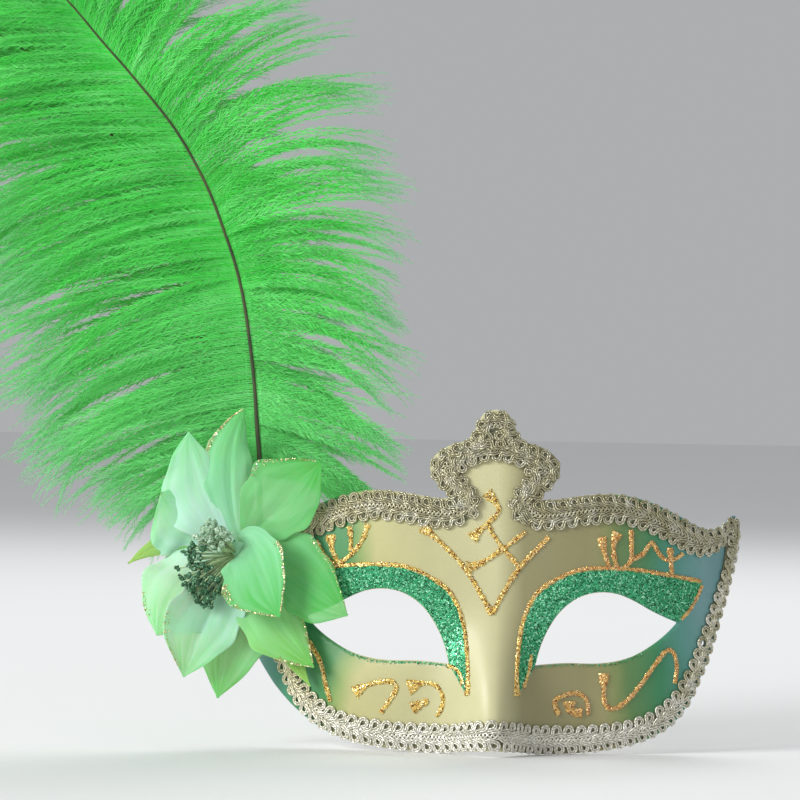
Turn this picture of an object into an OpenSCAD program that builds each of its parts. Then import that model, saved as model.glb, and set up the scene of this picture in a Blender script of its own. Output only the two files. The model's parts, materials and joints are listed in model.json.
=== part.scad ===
// Venetian half mask: moulded shell, metallic gimp braid, glitter paint, fabric flower
// and two ostrich plumes. The wearer looks along -Y, +X is the right-hand side seen from
// the front, +Z is up. The origin is where the inside of the nose bridge meets the face.

/* [Shell] */
// Wall thickness of the moulded shell
wall = 1.6; // [1.2:0.1:2.4]
// Half width of the ellipse that the shell is wrapped round
wrap_half_w = 88; // [86:1:96]
// Depth of that ellipse from the brow to the temples
wrap_depth = 62; // [45:1:70]
// How far the nose stands forward
nose_reach = 16; // [10:1:22]
// Half width of the nose ridge
nose_half_w = 11; // [9:0.5:14]
// How far the eye sockets are pressed back
socket_depth = 3; // [0:0.5:6]
// Size of the square cells that make the curved surface
cell = 3; // [2.5:0.5:6]
// Radius of the ribbon hole at each temple
tie_hole_r = 1.2; // [0.8:0.1:1.2]

/* [Trim] */
// Thickness of the gimp braid
braid_t = 1.8; // [1:0.2:2]
// Width of the shell's rim left bare outside the braid
bare_rim = 0.7; // [0:0.1:1.5]
// Width of a line of gold glitter glue
line_w = 1.4; // [0.8:0.1:2]
// Height of that line above the shell
line_h = 0.8; // [0.4:0.1:1.2]
// Thickness of the green glitter layer
glitter_t = 0.5; // [0.3:0.1:1]

/* [Flower] */
// Thickness of a petal
petal_t = 0.6; // [0.4:0.1:1]
// Radius of the hub that the petals are gathered in
hub_r = 3.6; // [3:0.2:5]
// Number of stamens
stamen_count = 21; // [8:1:24]
// Radius of a stamen's stem
stem_r = 0.3; // [0.2:0.05:0.3]
// Radius of a stamen's head
stamen_head_r = 1.2; // [0.8:0.1:1.6]

/* [Plumes] */
// Radius of a quill at its root
quill_r = 1.4; // [1:0.1:2]
// Thickness of the vane of barbs beside the quill
barb_t = 1; // [0.8:0.2:4]

/* [Hidden] */

// ---- Curves and skins -------------------------------------------------------------

function mix(a, b, t) = a + (b - a) * t;
function unit(v) = v / norm(v);
function flip(path) = [for (p = path) [-p.x, p.y]];
function reversed(path) = [for (i = [len(path) - 1:-1:0]) path[i]];

// Catmull-Rom spline through the points of a path, in two or three dimensions.
function knot(a, b, c, d, t) =
    0.5 * (2 * b + (c - a) * t + (2 * a - 5 * b + 4 * c - d) * t * t
           + (3 * b - a - 3 * c + d) * t * t * t);
function spline(path, steps) =
    let (last = len(path) - 1)
    concat([for (i = [0:last - 1]) for (k = [0:steps - 1])
                knot(path[max(i - 1, 0)], path[i], path[i + 1], path[min(i + 2, last)], k / steps)],
           [path[last]]);

// Six times the signed volume inside a set of triangles.
function six_volumes(points, faces) =
    [for (f = faces) points[f[0]] * cross(points[f[1]], points[f[2]])] * [for (f = faces) 1];

// Closed skin over rings that all have the same even number of points.
module skin(rings) {
    m = len(rings[0]);
    last = len(rings) - 1;
    points = [for (ring = rings) for (p = ring) p];
    walls = [for (i = [0:last - 1]) for (j = [0:m - 1])
                 let (a = i * m + j, b = i * m + (j + 1) % m)
                 each [[a, a + m, b + m], [a, b + m, b]]];
    caps = [for (j = [0:m / 2 - 2])
                let (k = m - 1 - j, e = last * m)
                each [[j, j + 1, k], [j + 1, k - 1, k],
                      [e + j, e + k, e + j + 1], [e + j + 1, e + k, e + k - 1]]];
    faces = concat(walls, caps);
    outward = six_volumes(points, faces) < 0;
    polyhedron(points, outward ? faces : [for (f = faces) reversed(f)], convexity = 8);
}

// Solid that runs through the whole mask from back to front, over a shape in X and Z.
through_back = 90;
through_len = 140;
module through() {
    translate([0, through_back, 0]) rotate([90, 0, 0]) linear_extrude(through_len) children();
}

// ---- Face of the mask -------------------------------------------------------------

brow_z = 10;
cheek_z = -5;
brow_lean = 0.0015;
cheek_lean = 0.002;
nose_top_z = 18;
nose_run = 46;
socket_x = 38;
socket_z = 4;
socket_half_w = 22;
socket_half_h = 13;

function smooth_step(t) = let (c = min(1, max(0, t))) c * c * (3 - 2 * c);
function wrap(x) = wrap_depth * (1 - sqrt(1 - pow(x / wrap_half_w, 2)));
function nose(x, z) =
    nose_reach * smooth_step((nose_top_z - z) / nose_run) * exp(-pow(x / nose_half_w, 2));
function socket(x, z) =
    socket_depth * exp(-pow((abs(x) - socket_x) / socket_half_w, 2)
                       - pow((z - socket_z) / socket_half_h, 2));
function lean(z) = brow_lean * pow(max(0, z - brow_z), 2) + cheek_lean * pow(min(0, z - cheek_z), 2);
function raw_front(x, z) = wrap(x) + lean(z) + socket(x, z) - nose(x, z);

// Front surface, set so that the inside of the nose bridge passes through the origin.
function front(x, z) = raw_front(x, z) - raw_front(0, 0) - wall;
function slope(x, z) = [front(x + 0.5, z) - front(x - 0.5, z), front(x, z + 0.5) - front(x, z - 0.5)];
function stretch(x, z) = let (s = slope(x, z)) sqrt(1 + s.x * s.x + s.y * s.y);
function on_face(p) = [p.x, front(p.x, p.y), p.y];
function face_normal(p) = let (s = slope(p.x, p.y)) unit([s.x, -1, s.y]);

sheet_x = 84;
sheet_low = -39;
sheet_high = 78;

// Layer of the curved face between two distances behind its front surface, measured
// square to the surface, over a rectangle of whole cells.
module face_layer(near, far, x0, x1, z0, z1) {
    nx = round((x1 - x0) / cell);
    nz = round((z1 - z0) / cell);
    function column(x, depth) = [for (j = [0:nz])
        let (z = mix(z0, z1, j / nz)) [x, front(x, z) + depth * stretch(x, z), z]];
    skin([for (i = [0:nx])
              let (x = mix(x0, x1, i / nx)) concat(column(x, near), reversed(column(x, far)))]);
}

// ---- Outlines, right half, as X and Z ---------------------------------------------

crown_rim = [[0, 75.8], [3.6, 74.8], [5.6, 71.4], [7.6, 67.2], [11, 65], [16, 63.4],
             [20.2, 59.8], [20.9, 56], [19.2, 52.4], [16, 49.4], [13.4, 46.7]];
brow_rim = [[13.4, 46.7], [20, 46.8], [27, 47.9], [34, 48.7], [41, 48.7], [48, 47.3],
            [55, 44.8], [62, 41.4], [67, 38.6], [72, 37.3], [76.5, 38.4], [80.6, 42.4]];
side_rim = [[80.6, 42.4], [82.4, 38], [81.4, 30], [79.2, 21], [76.6, 11.5], [74.6, 4],
            [72, -4.5], [69, -12], [65.8, -19], [61, -25.4], [54.5, -29.8], [46.5, -32.8],
            [36, -34.7], [25, -35.6], [15, -35.6], [8, -34.4], [0, -33.8]];
crown_inner = [[0, 59.4], [5, 58.6], [9.4, 56.4], [9.4, 52.8], [6.2, 49], [4.6, 45.6],
               [5.2, 42], [8.6, 38.6], [14, 36.9]];
brow_inner = [[14, 36.9], [22, 37.4], [30, 38.8], [38, 39.5], [46, 38.3], [53, 35.4],
              [60, 31.4], [66, 28.9], [72, 28.8], [77.2, 32.6]];
side_inner = [[77.2, 32.6], [75.8, 23.5], [73, 13.5], [70.4, 5], [66.8, -4.5], [63, -12],
              [58.5, -18.2], [52, -22.4], [43, -24.8], [31, -26], [18, -26.2], [8, -25.4],
              [0, -24.2]];
eye_upper = [[13.8, -7.2], [15.2, -1.5], [18, 5], [22, 10.9], [27, 14.9], [32, 16.8],
             [37, 17.2], [42, 16.3], [47, 14.1], [52, 11.3], [57, 8.9], [61.6, 7]];
eye_lower = [[61.6, 7], [57.5, 2.8], [52.5, -1], [46.5, -4.3], [40, -6.1], [33, -6.7],
             [24, -6.5], [13.8, -7.2]];
band_outer = [[8, -16.6], [8, -7], [9.6, 6], [13.4, 15.2], [19, 20.1], [27, 23.8],
              [35, 24.8], [46, 24.4], [57, 22.7], [69, 20.4]];
band_tip = [[69.4, 19], [66, 12.2], [62.4, 8]];

// Extra width of the moulded rim below the left temple, by height.
rim_flare = [[-27, 0], [-20, 2.4], [-14, 4.6], [-6, 6.4], [4, 6], [16, 4], [30, 1.5], [42, 0]];

function rim_half() = concat(spline(crown_rim, 3), spline(brow_rim, 2), spline(side_rim, 2));
function inner_half() = concat(spline(crown_inner, 2), spline(brow_inner, 2), spline(side_inner, 2));
function whole(half) = concat(half, reversed(flip(half)));
function flared(path) = [for (p = path) p.x < -40 && p.y < 42 ? [p.x - lookup(p.y, rim_flare), p.y] : p];
function eye_outline() = concat(spline(eye_upper, 3), spline(eye_lower, 3));
function band_outline() = concat(spline(band_outer, 3), band_tip, reversed(spline(eye_upper, 3)));

// ---- Shell ------------------------------------------------------------------------

tie_hole_at = [69.9, 0];

// Round cutter square to the face at one temple. Side is 1 on the right, -1 on the left.
module tie_hole(side) {
    spot = [side * tie_hole_at.x, tie_hole_at.y];
    n = face_normal(spot);
    translate(on_face(spot)) rotate([0, acos(n.z), atan2(n.y, n.x)])
        cylinder(r = tie_hole_r, h = 16, center = true, $fn = 48);
}

module shell() {
    color("lightgoldenrodyellow") difference() {
        intersection() {
            face_layer(0, wall, -sheet_x, sheet_x, sheet_low, sheet_high);
            through() polygon(flared(whole(rim_half())));
        }
        through() polygon(eye_outline());
        through() polygon(flip(eye_outline()));
        for (side = [-1, 1]) tie_hole(side);
    }
}

// ---- Braid and paint --------------------------------------------------------------

// Height of the joint between the two lengths of braid, on a line of whole cells.
braid_joint_z = 27;

// Braid between the rim and its inner edge, over one range of height.
module braid(low, high) {
    color("silver") intersection() {
        face_layer(-braid_t, 0, -sheet_x, sheet_x, low, high);
        through() difference() {
            offset(delta = -bare_rim) polygon(whole(rim_half()));
            polygon(whole(inner_half()));
        }
    }
}

module upper_braid() {
    braid(braid_joint_z, sheet_high);
}

module lower_braid() {
    difference() {
        braid(sheet_low, braid_joint_z);
        for (side = [-1, 1]) tie_hole(side);
    }
}

module glitter_band(side) {
    outline = band_outline();
    color("mediumseagreen") intersection() {
        face_layer(-glitter_t, 0, side < 0 ? -72 : 6, side < 0 ? -6 : 72, -18, 27);
        through() polygon(side < 0 ? flip(outline) : outline);
    }
}

// ---- Gold lines -------------------------------------------------------------------

// How far a line's foot is sunk in the paint.
line_sink = 0.1;
// A line swells over this length where the glue was started or stopped.
swell_len = 3;

function run_to(path, i) = i == 0 ? 0 : run_to(path, i - 1) + norm(path[i] - path[i - 1]);

// Ring of a glue line across the face at p, heading along d in X and Z.
function line_ring(p, d, w) =
    let (n = face_normal(p),
         ahead = on_face(p + 0.5 * d) - on_face(p - 0.5 * d),
         s = unit(cross(n, ahead)),
         c = on_face(p),
         h = line_h * sqrt(w / line_w))
    [c - s * w / 2 - n * line_sink, c - s * w * 0.4 + n * h * 0.6, c - s * w * 0.12 + n * h,
     c + s * w * 0.12 + n * h, c + s * w * 0.4 + n * h * 0.6, c + s * w / 2 - n * line_sink];

// One line: the swelling at its start and at its end, then its path.
module glue_line(line) {
    path = spline(line[2], 3);
    last = len(path) - 1;
    total = run_to(path, last);
    skin([for (i = [0:last])
              let (d = unit(path[min(i + 1, last)] - path[max(i - 1, 0)]),
                   run = run_to(path, i),
                   swell = max(line[0] * exp(-pow(run / swell_len, 2)),
                               line[1] * exp(-pow((total - run) / swell_len, 2))))
              line_ring(path[i], d, line_w * (0.9 + swell))]);
}

module gold_lines(lines) {
    color("goldenrod") for (line = lines) glue_line(line);
}

eye_line = [[0.2, 0.3, [[12.6, -3.6], [11.8, -8.6], [10, -14]]],
            [0.5, 0, band_outer],
            [0, 0, band_tip]];
forehead = [[1.4, 0.4, [[-21.6, 35.6], [-16, 31.2], [-9.2, 24], [-4.4, 16.4], [-0.3, 9.6]]],
            [0.3, 0, [[0.6, 11.2], [3.6, 17], [8.5, 24.8], [15.2, 32], [17.8, 34.8]]],
            [1.3, 1.2, [[-2.6, 49], [1.4, 43.6], [-2.4, 38.8], [-4.8, 36.6], [-7.2, 33.9]]],
            [0, 0, [[-1.8, 37.8], [0.2, 34.6], [2.4, 31.5]]],
            [0, 0, [[3.6, 30.1], [5.7, 27.6], [7.7, 25.7]]],
            [1.4, 0, [[-7.4, 24.8], [-3, 26.6], [3, 30.8], [10.2, 36.4]]]];
temple_right = [[1.5, 0, [[35.2, 35], [36.2, 30], [37.6, 26.4]]],
                [1.2, 0, [[40.5, 36.4], [39.4, 33.4], [39.3, 29.4], [40.2, 26.4]]],
                [0.3, 0, [[45, 37.4], [45.1, 32], [44.8, 29], [43.4, 26.4]]],
                [0, 0, [[46.1, 28.4], [49.2, 29.7], [51.8, 33.2], [54.5, 29.7], [57.3, 27.6]]],
                [0, 0, [[59.6, 27.9], [61, 28.3], [62.2, 29.2]]],
                [0.8, 0, [[58.2, 30.8], [58.4, 28], [58.9, 24]]]];
temple_left = [[0.9, 0, [[-58.4, 31], [-55.8, 27.6], [-53.4, 25.4]]],
               [1.2, 0, [[-53.5, 33.2], [-52.8, 29], [-51.2, 26.2]]],
               [0.4, 0, [[-47.2, 36.4], [-46.8, 33.4], [-46.8, 29.6]]],
               [0.2, 0, [[-41.4, 37.6], [-43, 32.6], [-46.4, 28], [-48.9, 26]]]];
cheek_right = [[0.3, 0, [[22, -23], [20.8, -18.4], [27, -16], [31, -18], [31.8, -23]]],
               [1.6, 0.9, [[25.6, -18.6], [26, -21.8], [29.6, -22.4]]],
               [1.4, 0, [[36.8, -9.6], [36.8, -14.6], [37.2, -19.4], [39.8, -21.2], [44, -19],
                         [48.9, -13.6], [53.8, -6.8], [57.8, -2.2], [60.2, -3.4], [61.2, -8],
                         [60.6, -13]]]];
cheek_left = [[1.6, 0, [[-44.7, -17.4], [-41, -15], [-36.7, -13.6], [-32.8, -13.4], [-31, -15.4],
                        [-33.2, -19.6], [-36, -23.6]]],
              [2, 0, [[-27, -15], [-21.8, -13.4], [-17.8, -14.4], [-15.8, -18], [-16.2, -21.4],
                      [-17.8, -24.2]]],
              [1.5, 0, [[-25.8, -21.8], [-20.6, -19.2]]],
              [0.6, 0, [[-61, -1.2], [-58, -4.6], [-55.8, -9], [-54.2, -15.4], [-52.6, -20.6]]]];

// ---- Flower -----------------------------------------------------------------------

flower = [-83.8, 21.5, 27.7];
base_at = [-81.5, 24.5, 26];
base_r = 7;
base_t = 2.5;
pad_at = [-80, 30.5, 26];
pad_r = 7;
// How far the hub stands forward of the petals' roots.
hub_stand = 4;
petal_rows = 10;
petal_half_cols = 3;

// A petal starts at its root, is bent by a control point and ends at its tip, all from
// the flower's centre. Then come its width, its fullness (over 1 is blunter and wider
// towards the tip) and how far its edges are cupped forward.
petals = [[[0.5, 0, 3], [-7, -1, 30], [1.4, -5, 47.5], 15, 1, 2],
          [[-2.5, 0, 3], [-15, 0, 20], [-17, -3, 39.4], 20, 1.05, 1.5],
          [[-3.5, 1.5, 1.5], [-15, 3, 11], [-25, 0, 20], 22, 1.2, 2],
          [[-3.5, -0.5, -1.5], [-17, 0, -7], [-25.5, -8, -29], 26, 1.5, 3],
          [[-2, -1.5, -3], [-9, -4, -20], [-18, -9, -41], 23, 1.3, -2],
          [[0, 1, -3], [-2, 1, -24], [-6, -4, -48], 23, 1.05, 2],
          [[2, -1, -3], [9, -5, -18], [25.6, -10.5, -37], 19, 1.2, 1],
          [[3, -0.5, 1.5], [18, -3, -5], [36.4, -15.5, -19.6], 22, 1.15, 1],
          [[2, 0, 3], [13, -3, 15], [27, -11.5, 30.4], 25, 1.3, -1],
          [[0.8, -2, 3.2], [5, -11, 8], [14, -15, -20], 20, 1.6, -1]];
leaves = [[[-3.5, 3, 1.5], [-20, 4.5, 7], [-36.4, 1, -5.5], 7, 1, 1],
          [[2.5, 1.5, -3], [10, 0, -22], [24.5, -6.5, -43.5], 10, 1.1, 0.5]];

function bend(a, b, c, t) = a * (1 - t) * (1 - t) + b * 2 * t * (1 - t) + c * t * t;
function bend_way(a, b, c, t) = unit((b - a) * (1 - t) + (c - b) * t);

// Point of a petal, u from root to tip and v from -1 to 1 across, lifted by h.
function petal_point(q, u, v, h) =
    let (t = bend_way(q[0], q[1], q[2], u),
         s = unit([-t.z, 0, t.x]),
         n = cross(t, s),
         w = q[3] / 2 * max(0.04, pow(sin(180 * pow(u, q[4])), 0.8 / q[4])) + 0.5 * (1 - u))
    flower + bend(q[0], q[1], q[2], u) + s * v * w + n * (h - q[5] * v * v * sin(180 * u));

module petal(q) {
    c = petal_half_cols;
    skin([for (i = [0:petal_rows])
              let (u = i / petal_rows)
              concat([for (j = [-c:c]) petal_point(q, u, j / c, petal_t / 2)],
                     [for (j = [c:-1:-c]) petal_point(q, u, j / c, -petal_t / 2)])]);
}

// Beads of gold glitter along a petal's edge: the petal, the side, and the stretch.
glitter_edges = [[0, 1, 0.5, 0.97], [6, 1, 0.75, 0.97], [7, 1, 0.5, 0.8],
                 [8, 1, 0.65, 0.9], [9, 1, 0.4, 0.95], [9, -1, 0.8, 0.95]];
glitter_r = 0.5;

module edge_glitter(edge) {
    q = petals[edge[0]];
    steps = 6;
    path = [for (i = [0:steps]) petal_point(q, mix(edge[2], edge[3], i / steps), edge[1], 0)];
    skin([for (i = [0:steps])
              let (t = unit(path[min(i + 1, steps)] - path[max(i - 1, 0)]),
                   s = unit(cross(t, [0, 1, 0])), n = cross(t, s))
              [for (k = [0:5]) path[i] + glitter_r * (s * cos(60 * k) + n * sin(60 * k))]]);
}

module petal_glitter() {
    color("gold") for (edge = glitter_edges) edge_glitter(edge);
}

module flower_base() {
    color("palegreen") {
        translate(base_at + [0, base_t / 2, 0]) rotate([90, 0, 0])
            cylinder(r = base_r, h = base_t, $fn = 64);
        translate([flower.x, base_at.y, flower.z]) rotate([90, 0, 0])
            cylinder(r = hub_r, h = base_at.y - flower.y + hub_stand, $fn = 48);
    }
}

// Hot glue between the shell and the back of the flower, round the ends of the quills.
module glue_pad() {
    color("whitesmoke") translate(pad_at) sphere(r = pad_r, $fn = 48);
}

stamen_root = flower + [-0.5, -hub_stand, -0.5];
stamen_layers = 3;
stamen_sunk = 0.2;

// The stamens fan out to the left in layers, the front layer nearest the middle.
function stamen_angle(i) = mix(112, 238, (i + 0.5) / stamen_count);
function stamen_layer(i) = i % stamen_layers;
function stamen_start(i) =
    let (r = 3.3 - 0.7 * stamen_layer(i))
    stamen_root + [r * cos(stamen_angle(i)), stamen_sunk, r * sin(stamen_angle(i))];
function stamen_tip(i) =
    let (angle = stamen_angle(i),
         reach = mix(11, 16.5, i / stamen_count) + (i * 7) % 5 * 1.2)
    stamen_root + [reach * cos(angle), -4 - stamen_layer(i) * 3.4, reach * sin(angle)];

module rod(a, b, r) {
    v = b - a;
    translate(a) rotate([0, acos(v.z / norm(v)), atan2(v.y, v.x)])
        cylinder(r = r, h = norm(v), $fn = 16);
}

module stamen_stems() {
    color("olivedrab") for (i = [0:stamen_count - 1])
        rod(stamen_start(i), stamen_tip(i), stem_r);
}

module stamen_heads() {
    color("darkolivegreen") for (i = [0:stamen_count - 1])
        translate(stamen_tip(i)) sphere(r = stamen_head_r, $fn = 24);
}

// ---- Plumes -----------------------------------------------------------------------

stub_gap = 0.15;
stub_low_z = 21;

// Each quill's own line starts at the pivot where it leaves the glue.
front_line = [[-77.2, 28.5, 34], [-77.6, 29, 56], [-78.6, 29.5, 68], [-80.2, 30, 86],
              [-83.2, 30.5, 107], [-86.4, 30.5, 121], [-90.9, 30, 134], [-97, 29, 149],
              [-107.5, 27.5, 167], [-121.6, 25.5, 184], [-132, 24, 195.5], [-142.4, 22.5, 207.4],
              [-155, 20.5, 219.5], [-167, 17.5, 228.5], [-181, 13.5, 236]];
back_line = [[-80.8, 33.5, 33], [-84, 35, 58], [-91, 37, 82], [-98.8, 38, 100],
             [-110.8, 38.5, 127.6], [-117, 38, 142], [-125.4, 37.5, 159.5], [-136, 36.5, 174],
             [-150, 34.5, 187], [-166, 32.5, 197], [-183, 30.5, 203]];

// Barbs by place along the quill: length, first heading and turn over the length.
// Headings are in degrees from +X towards +Z.
front_left = [[0, 52, 190, 34], [0.1, 78, 187, 36], [0.25, 90, 184, 34], [0.45, 90, 181, 30],
              [0.7, 78, 175, 30], [0.9, 56, 166, 30], [1, 40, 158, 24]];
front_right = [[0, 48, 4, -28], [0.12, 55, 10, -34], [0.28, 59, 28, -48], [0.42, 68, 54, -66],
               [0.6, 72, 76, -60], [0.8, 62, 92, -52], [1, 42, 112, -36]];
back_left = [[0, 48, 194, 34], [0.1, 72, 190, 38], [0.25, 82, 186, 36], [0.45, 84, 182, 34],
             [0.7, 70, 176, 32], [0.9, 50, 171, 28], [1, 36, 169, 24]];
back_right = [[0, 42, -2, -24], [0.2, 52, 12, -36], [0.45, 60, 44, -56], [0.7, 60, 76, -56],
              [0.9, 46, 94, -46], [1, 34, 110, -30]];
// Share of the quill below the first barb.
bare_quill = 0.11;
barb_rows = 22;
barb_cols = 5;
barb_foot = 0.015;
barb_tip_t = 0.6;
quill_steps = 36;
quill_sides = 8;
quill_tip_r = 0.35;

function pick(table, column, u) = lookup(u, [for (row = table) [row[0], row[column]]]);

// Point of a quill, with u from 0 at the pivot to 1 at the tip.
function along(line, u) =
    let (f = u * (len(line) - 1), i = min(floor(f), len(line) - 2))
    knot(line[max(i - 1, 0)], line[i], line[i + 1], line[min(i + 2, len(line) - 1)], f - i);

// Point of a barb that leaves the quill and turns evenly, with s from 0 to 1 along it.
function barb_point(line, table, u, s) =
    let (f = (u - bare_quill) / (1 - bare_quill),
         turned = pick(table, 3, f) * max(s, 0.001),
         reach = pick(table, 1, f) * s * sin(turned / 2) / (turned * PI / 360),
         heading = pick(table, 2, f) + turned / 2)
    along(line, u) + reach * [cos(heading), 0, sin(heading)];

// The barbs of one side as a single thin vane.
module barbs(line, table) {
    c = barb_cols;
    function edge(u, j, face) = barb_point(line, table, u, mix(barb_foot, 1, j / c))
                                + [0, face * mix(barb_t, barb_tip_t, j / c) / 2, 0];
    skin([for (i = [0:barb_rows])
              let (u = mix(bare_quill, 1, i / barb_rows))
              concat([for (j = [0:c]) edge(u, j, -1)], [for (j = [c:-1:0]) edge(u, j, 1)])]);
}

// The part of a quill above its pivot. It starts square to the glued end.
module quill(line) {
    function centre(u) = along(line, u) + (u == 0 ? [0, 0, stub_gap] : [0, 0, 0]);
    function way(u) = u == 0 ? [0, 0, 1] : unit(along(line, min(1, u + 0.01)) - along(line, u - 0.01));
    skin([for (i = [0:quill_steps])
              let (u = i / quill_steps,
                   s = unit(cross(way(u), [0, 1, 0])),
                   n = cross(way(u), s))
              [for (k = [0:quill_sides - 1])
                   let (a = k * 360 / quill_sides)
                   centre(u) + mix(quill_r, quill_tip_r, u) * (s * cos(a) + n * sin(a))]]);
}

// The glued ends of the quills, which stay with the mask.
module quill_stubs() {
    color("saddlebrown") for (line = [front_line, back_line])
        translate([line[0].x, line[0].y, stub_low_z])
            cylinder(r = quill_r, h = line[0].z - stub_gap - stub_low_z, $fn = 32);
}

// ---- Nodes ------------------------------------------------------------------------

shell();
upper_braid();
lower_braid();
glitter_band(-1);  // glitter_band_left
glitter_band(1);  // glitter_band_right
gold_lines([for (line = eye_line) [line[0], line[1], flip(line[2])]]);  // eye_line_left
gold_lines(eye_line);  // eye_line_right
gold_lines(forehead);  // forehead_lines
gold_lines(temple_left);  // temple_lines_left
gold_lines(temple_right);  // temple_lines_right
gold_lines(cheek_left);  // cheek_lines_left
gold_lines(cheek_right);  // cheek_lines_right
glue_pad();
flower_base();
for (i = [0:len(petals) - 1])
    color("aquamarine") petal(petals[i]);
for (i = [0:len(leaves) - 1])
    color("yellowgreen") petal(leaves[i]);
petal_glitter();
stamen_stems();
stamen_heads();
quill_stubs();
color("saddlebrown") quill(front_line);  // front_quill
color("limegreen") barbs(front_line, front_left);  // front_barbs_left
color("limegreen") barbs(front_line, front_right);  // front_barbs_right
color("saddlebrown") quill(back_line);  // back_quill
color("green") barbs(back_line, back_left);  // back_barbs_left
color("green") barbs(back_line, back_right);  // back_barbs_right
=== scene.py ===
"""Looks of the venetian mask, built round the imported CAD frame. Sizes are in millimetres
until solid() turns them into metres."""
import json
import math

import bmesh
import bpy
import numpy as np
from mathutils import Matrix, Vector, geometry

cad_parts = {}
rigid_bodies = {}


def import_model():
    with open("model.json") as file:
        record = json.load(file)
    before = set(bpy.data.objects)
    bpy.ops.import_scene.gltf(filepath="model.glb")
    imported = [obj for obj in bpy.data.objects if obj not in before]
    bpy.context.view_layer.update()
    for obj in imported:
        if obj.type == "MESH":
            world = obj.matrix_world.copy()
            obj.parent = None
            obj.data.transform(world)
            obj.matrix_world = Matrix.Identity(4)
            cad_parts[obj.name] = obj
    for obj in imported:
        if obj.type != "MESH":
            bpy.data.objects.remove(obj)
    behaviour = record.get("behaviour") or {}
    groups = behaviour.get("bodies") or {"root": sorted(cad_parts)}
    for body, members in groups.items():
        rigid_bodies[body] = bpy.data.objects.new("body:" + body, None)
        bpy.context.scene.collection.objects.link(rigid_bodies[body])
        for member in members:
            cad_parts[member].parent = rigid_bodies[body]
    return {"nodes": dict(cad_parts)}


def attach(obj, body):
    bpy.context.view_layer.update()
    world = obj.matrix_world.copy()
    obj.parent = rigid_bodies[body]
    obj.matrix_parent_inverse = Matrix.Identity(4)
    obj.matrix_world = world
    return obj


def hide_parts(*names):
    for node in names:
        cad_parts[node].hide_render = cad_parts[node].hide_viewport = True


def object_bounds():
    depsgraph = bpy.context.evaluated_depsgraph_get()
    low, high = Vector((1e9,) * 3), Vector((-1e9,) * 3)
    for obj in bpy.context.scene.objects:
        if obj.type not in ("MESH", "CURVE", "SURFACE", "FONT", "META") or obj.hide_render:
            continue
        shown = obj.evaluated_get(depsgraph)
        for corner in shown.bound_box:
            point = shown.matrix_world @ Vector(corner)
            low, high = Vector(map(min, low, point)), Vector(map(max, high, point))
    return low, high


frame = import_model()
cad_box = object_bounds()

MM = 0.001
seeds = {"petals": 3, "braid": 5, "gold": 7, "flakes": 11, "barbs": 13, "stamens": 17}


# ---- Curves ----------------------------------------------------------------------------

def unit(v):
    """Vectors of length 1, along the last axis."""
    v = np.asarray(v, float)
    return v / np.maximum(np.linalg.norm(v, axis=-1, keepdims=True), 1e-9)


def mix(a, b, t):
    return a + (b - a) * t


def spline(path, steps):
    """Catmull-Rom curve through the points of a path."""
    p = np.asarray(path, float)
    p = np.vstack([p[:1], p, p[-1:]])
    out = []
    for i in range(1, len(p) - 2):
        a, b, c, d = p[i - 1:i + 3]
        for k in range(steps):
            t = k / steps
            out.append(0.5 * (2 * b + (c - a) * t + (2 * a - 5 * b + 4 * c - d) * t * t
                              + (3 * b - a - 3 * c + d) * t ** 3))
    out.append(p[-2])
    return np.array(out)


def runs(path):
    """Distance along a path at each of its points."""
    return np.concatenate([[0], np.cumsum(np.linalg.norm(np.diff(path, axis=0), axis=1))])


def sample(at, places, values):
    """Each column of values at some places, between the places where it is known."""
    return np.stack([np.interp(at, places, column) for column in np.transpose(values)], axis=-1)


def resample(path, count):
    """The path again as evenly spaced points."""
    run = runs(path)
    return sample(np.linspace(0, run[-1], count), run, path)


def flip(path):
    """Mirrored in X."""
    return np.asarray(path, float) * ([-1] + [1] * (np.shape(path)[1] - 1))


# ---- Meshes ----------------------------------------------------------------------------

def solid(name, verts, faces, look, slot, body="mask", replaces=(), uv=None, smooth=True):
    """A piece from vertices in millimetres and faces that all have the same number of corners."""
    verts = np.asarray(verts, float) * MM
    faces = np.asarray(faces, int)
    corners = faces.shape[1]
    mesh = bpy.data.meshes.new(name)
    mesh.vertices.add(len(verts))
    mesh.vertices.foreach_set("co", verts.ravel())
    mesh.loops.add(faces.size)
    mesh.loops.foreach_set("vertex_index", faces.ravel())
    mesh.polygons.add(len(faces))
    mesh.polygons.foreach_set("loop_start", np.arange(len(faces)) * corners)
    mesh.polygons.foreach_set("use_smooth", np.full(len(faces), smooth))
    mesh.update(calc_edges=True)
    mesh.validate()
    if uv is not None:
        sheet = mesh.uv_layers.new(name="OFBake")
        sheet.data.foreach_set("uv", np.asarray(uv, float)[faces.ravel()].ravel())
    mesh.materials.append(look)
    obj = bpy.data.objects.new(name, mesh)
    bpy.context.scene.collection.objects.link(obj)
    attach(obj, body)
    if replaces:
        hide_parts(*replaces)
    return obj


def consistent(obj):
    """Turns all faces of a closed mesh outward."""
    bm = bmesh.new()
    bm.from_mesh(obj.data)
    bmesh.ops.recalc_face_normals(bm, faces=bm.faces)
    bm.to_mesh(obj.data)
    bm.free()


def merged(parts):
    """One vertex list and one face list from several."""
    verts, faces, start = [], [], 0
    for v, f in parts:
        verts.append(v)
        faces.append(np.asarray(f) + start)
        start += len(v)
    return np.vstack(verts), np.vstack(faces)


def grid_faces(rows, cols, wrap=False):
    """Quads over rows of points, closed round each row if wrap is true."""
    r = np.arange(rows - 1)[:, None]
    c = np.arange(cols if wrap else cols - 1)[None, :]
    nxt = (c + 1) % cols
    return np.stack([r * cols + c, r * cols + nxt, (r + 1) * cols + nxt, (r + 1) * cols + c],
                    axis=-1).reshape(-1, 4)


def split_quads(faces):
    return np.vstack([faces[:, [0, 1, 2]], faces[:, [0, 2, 3]]])


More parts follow.
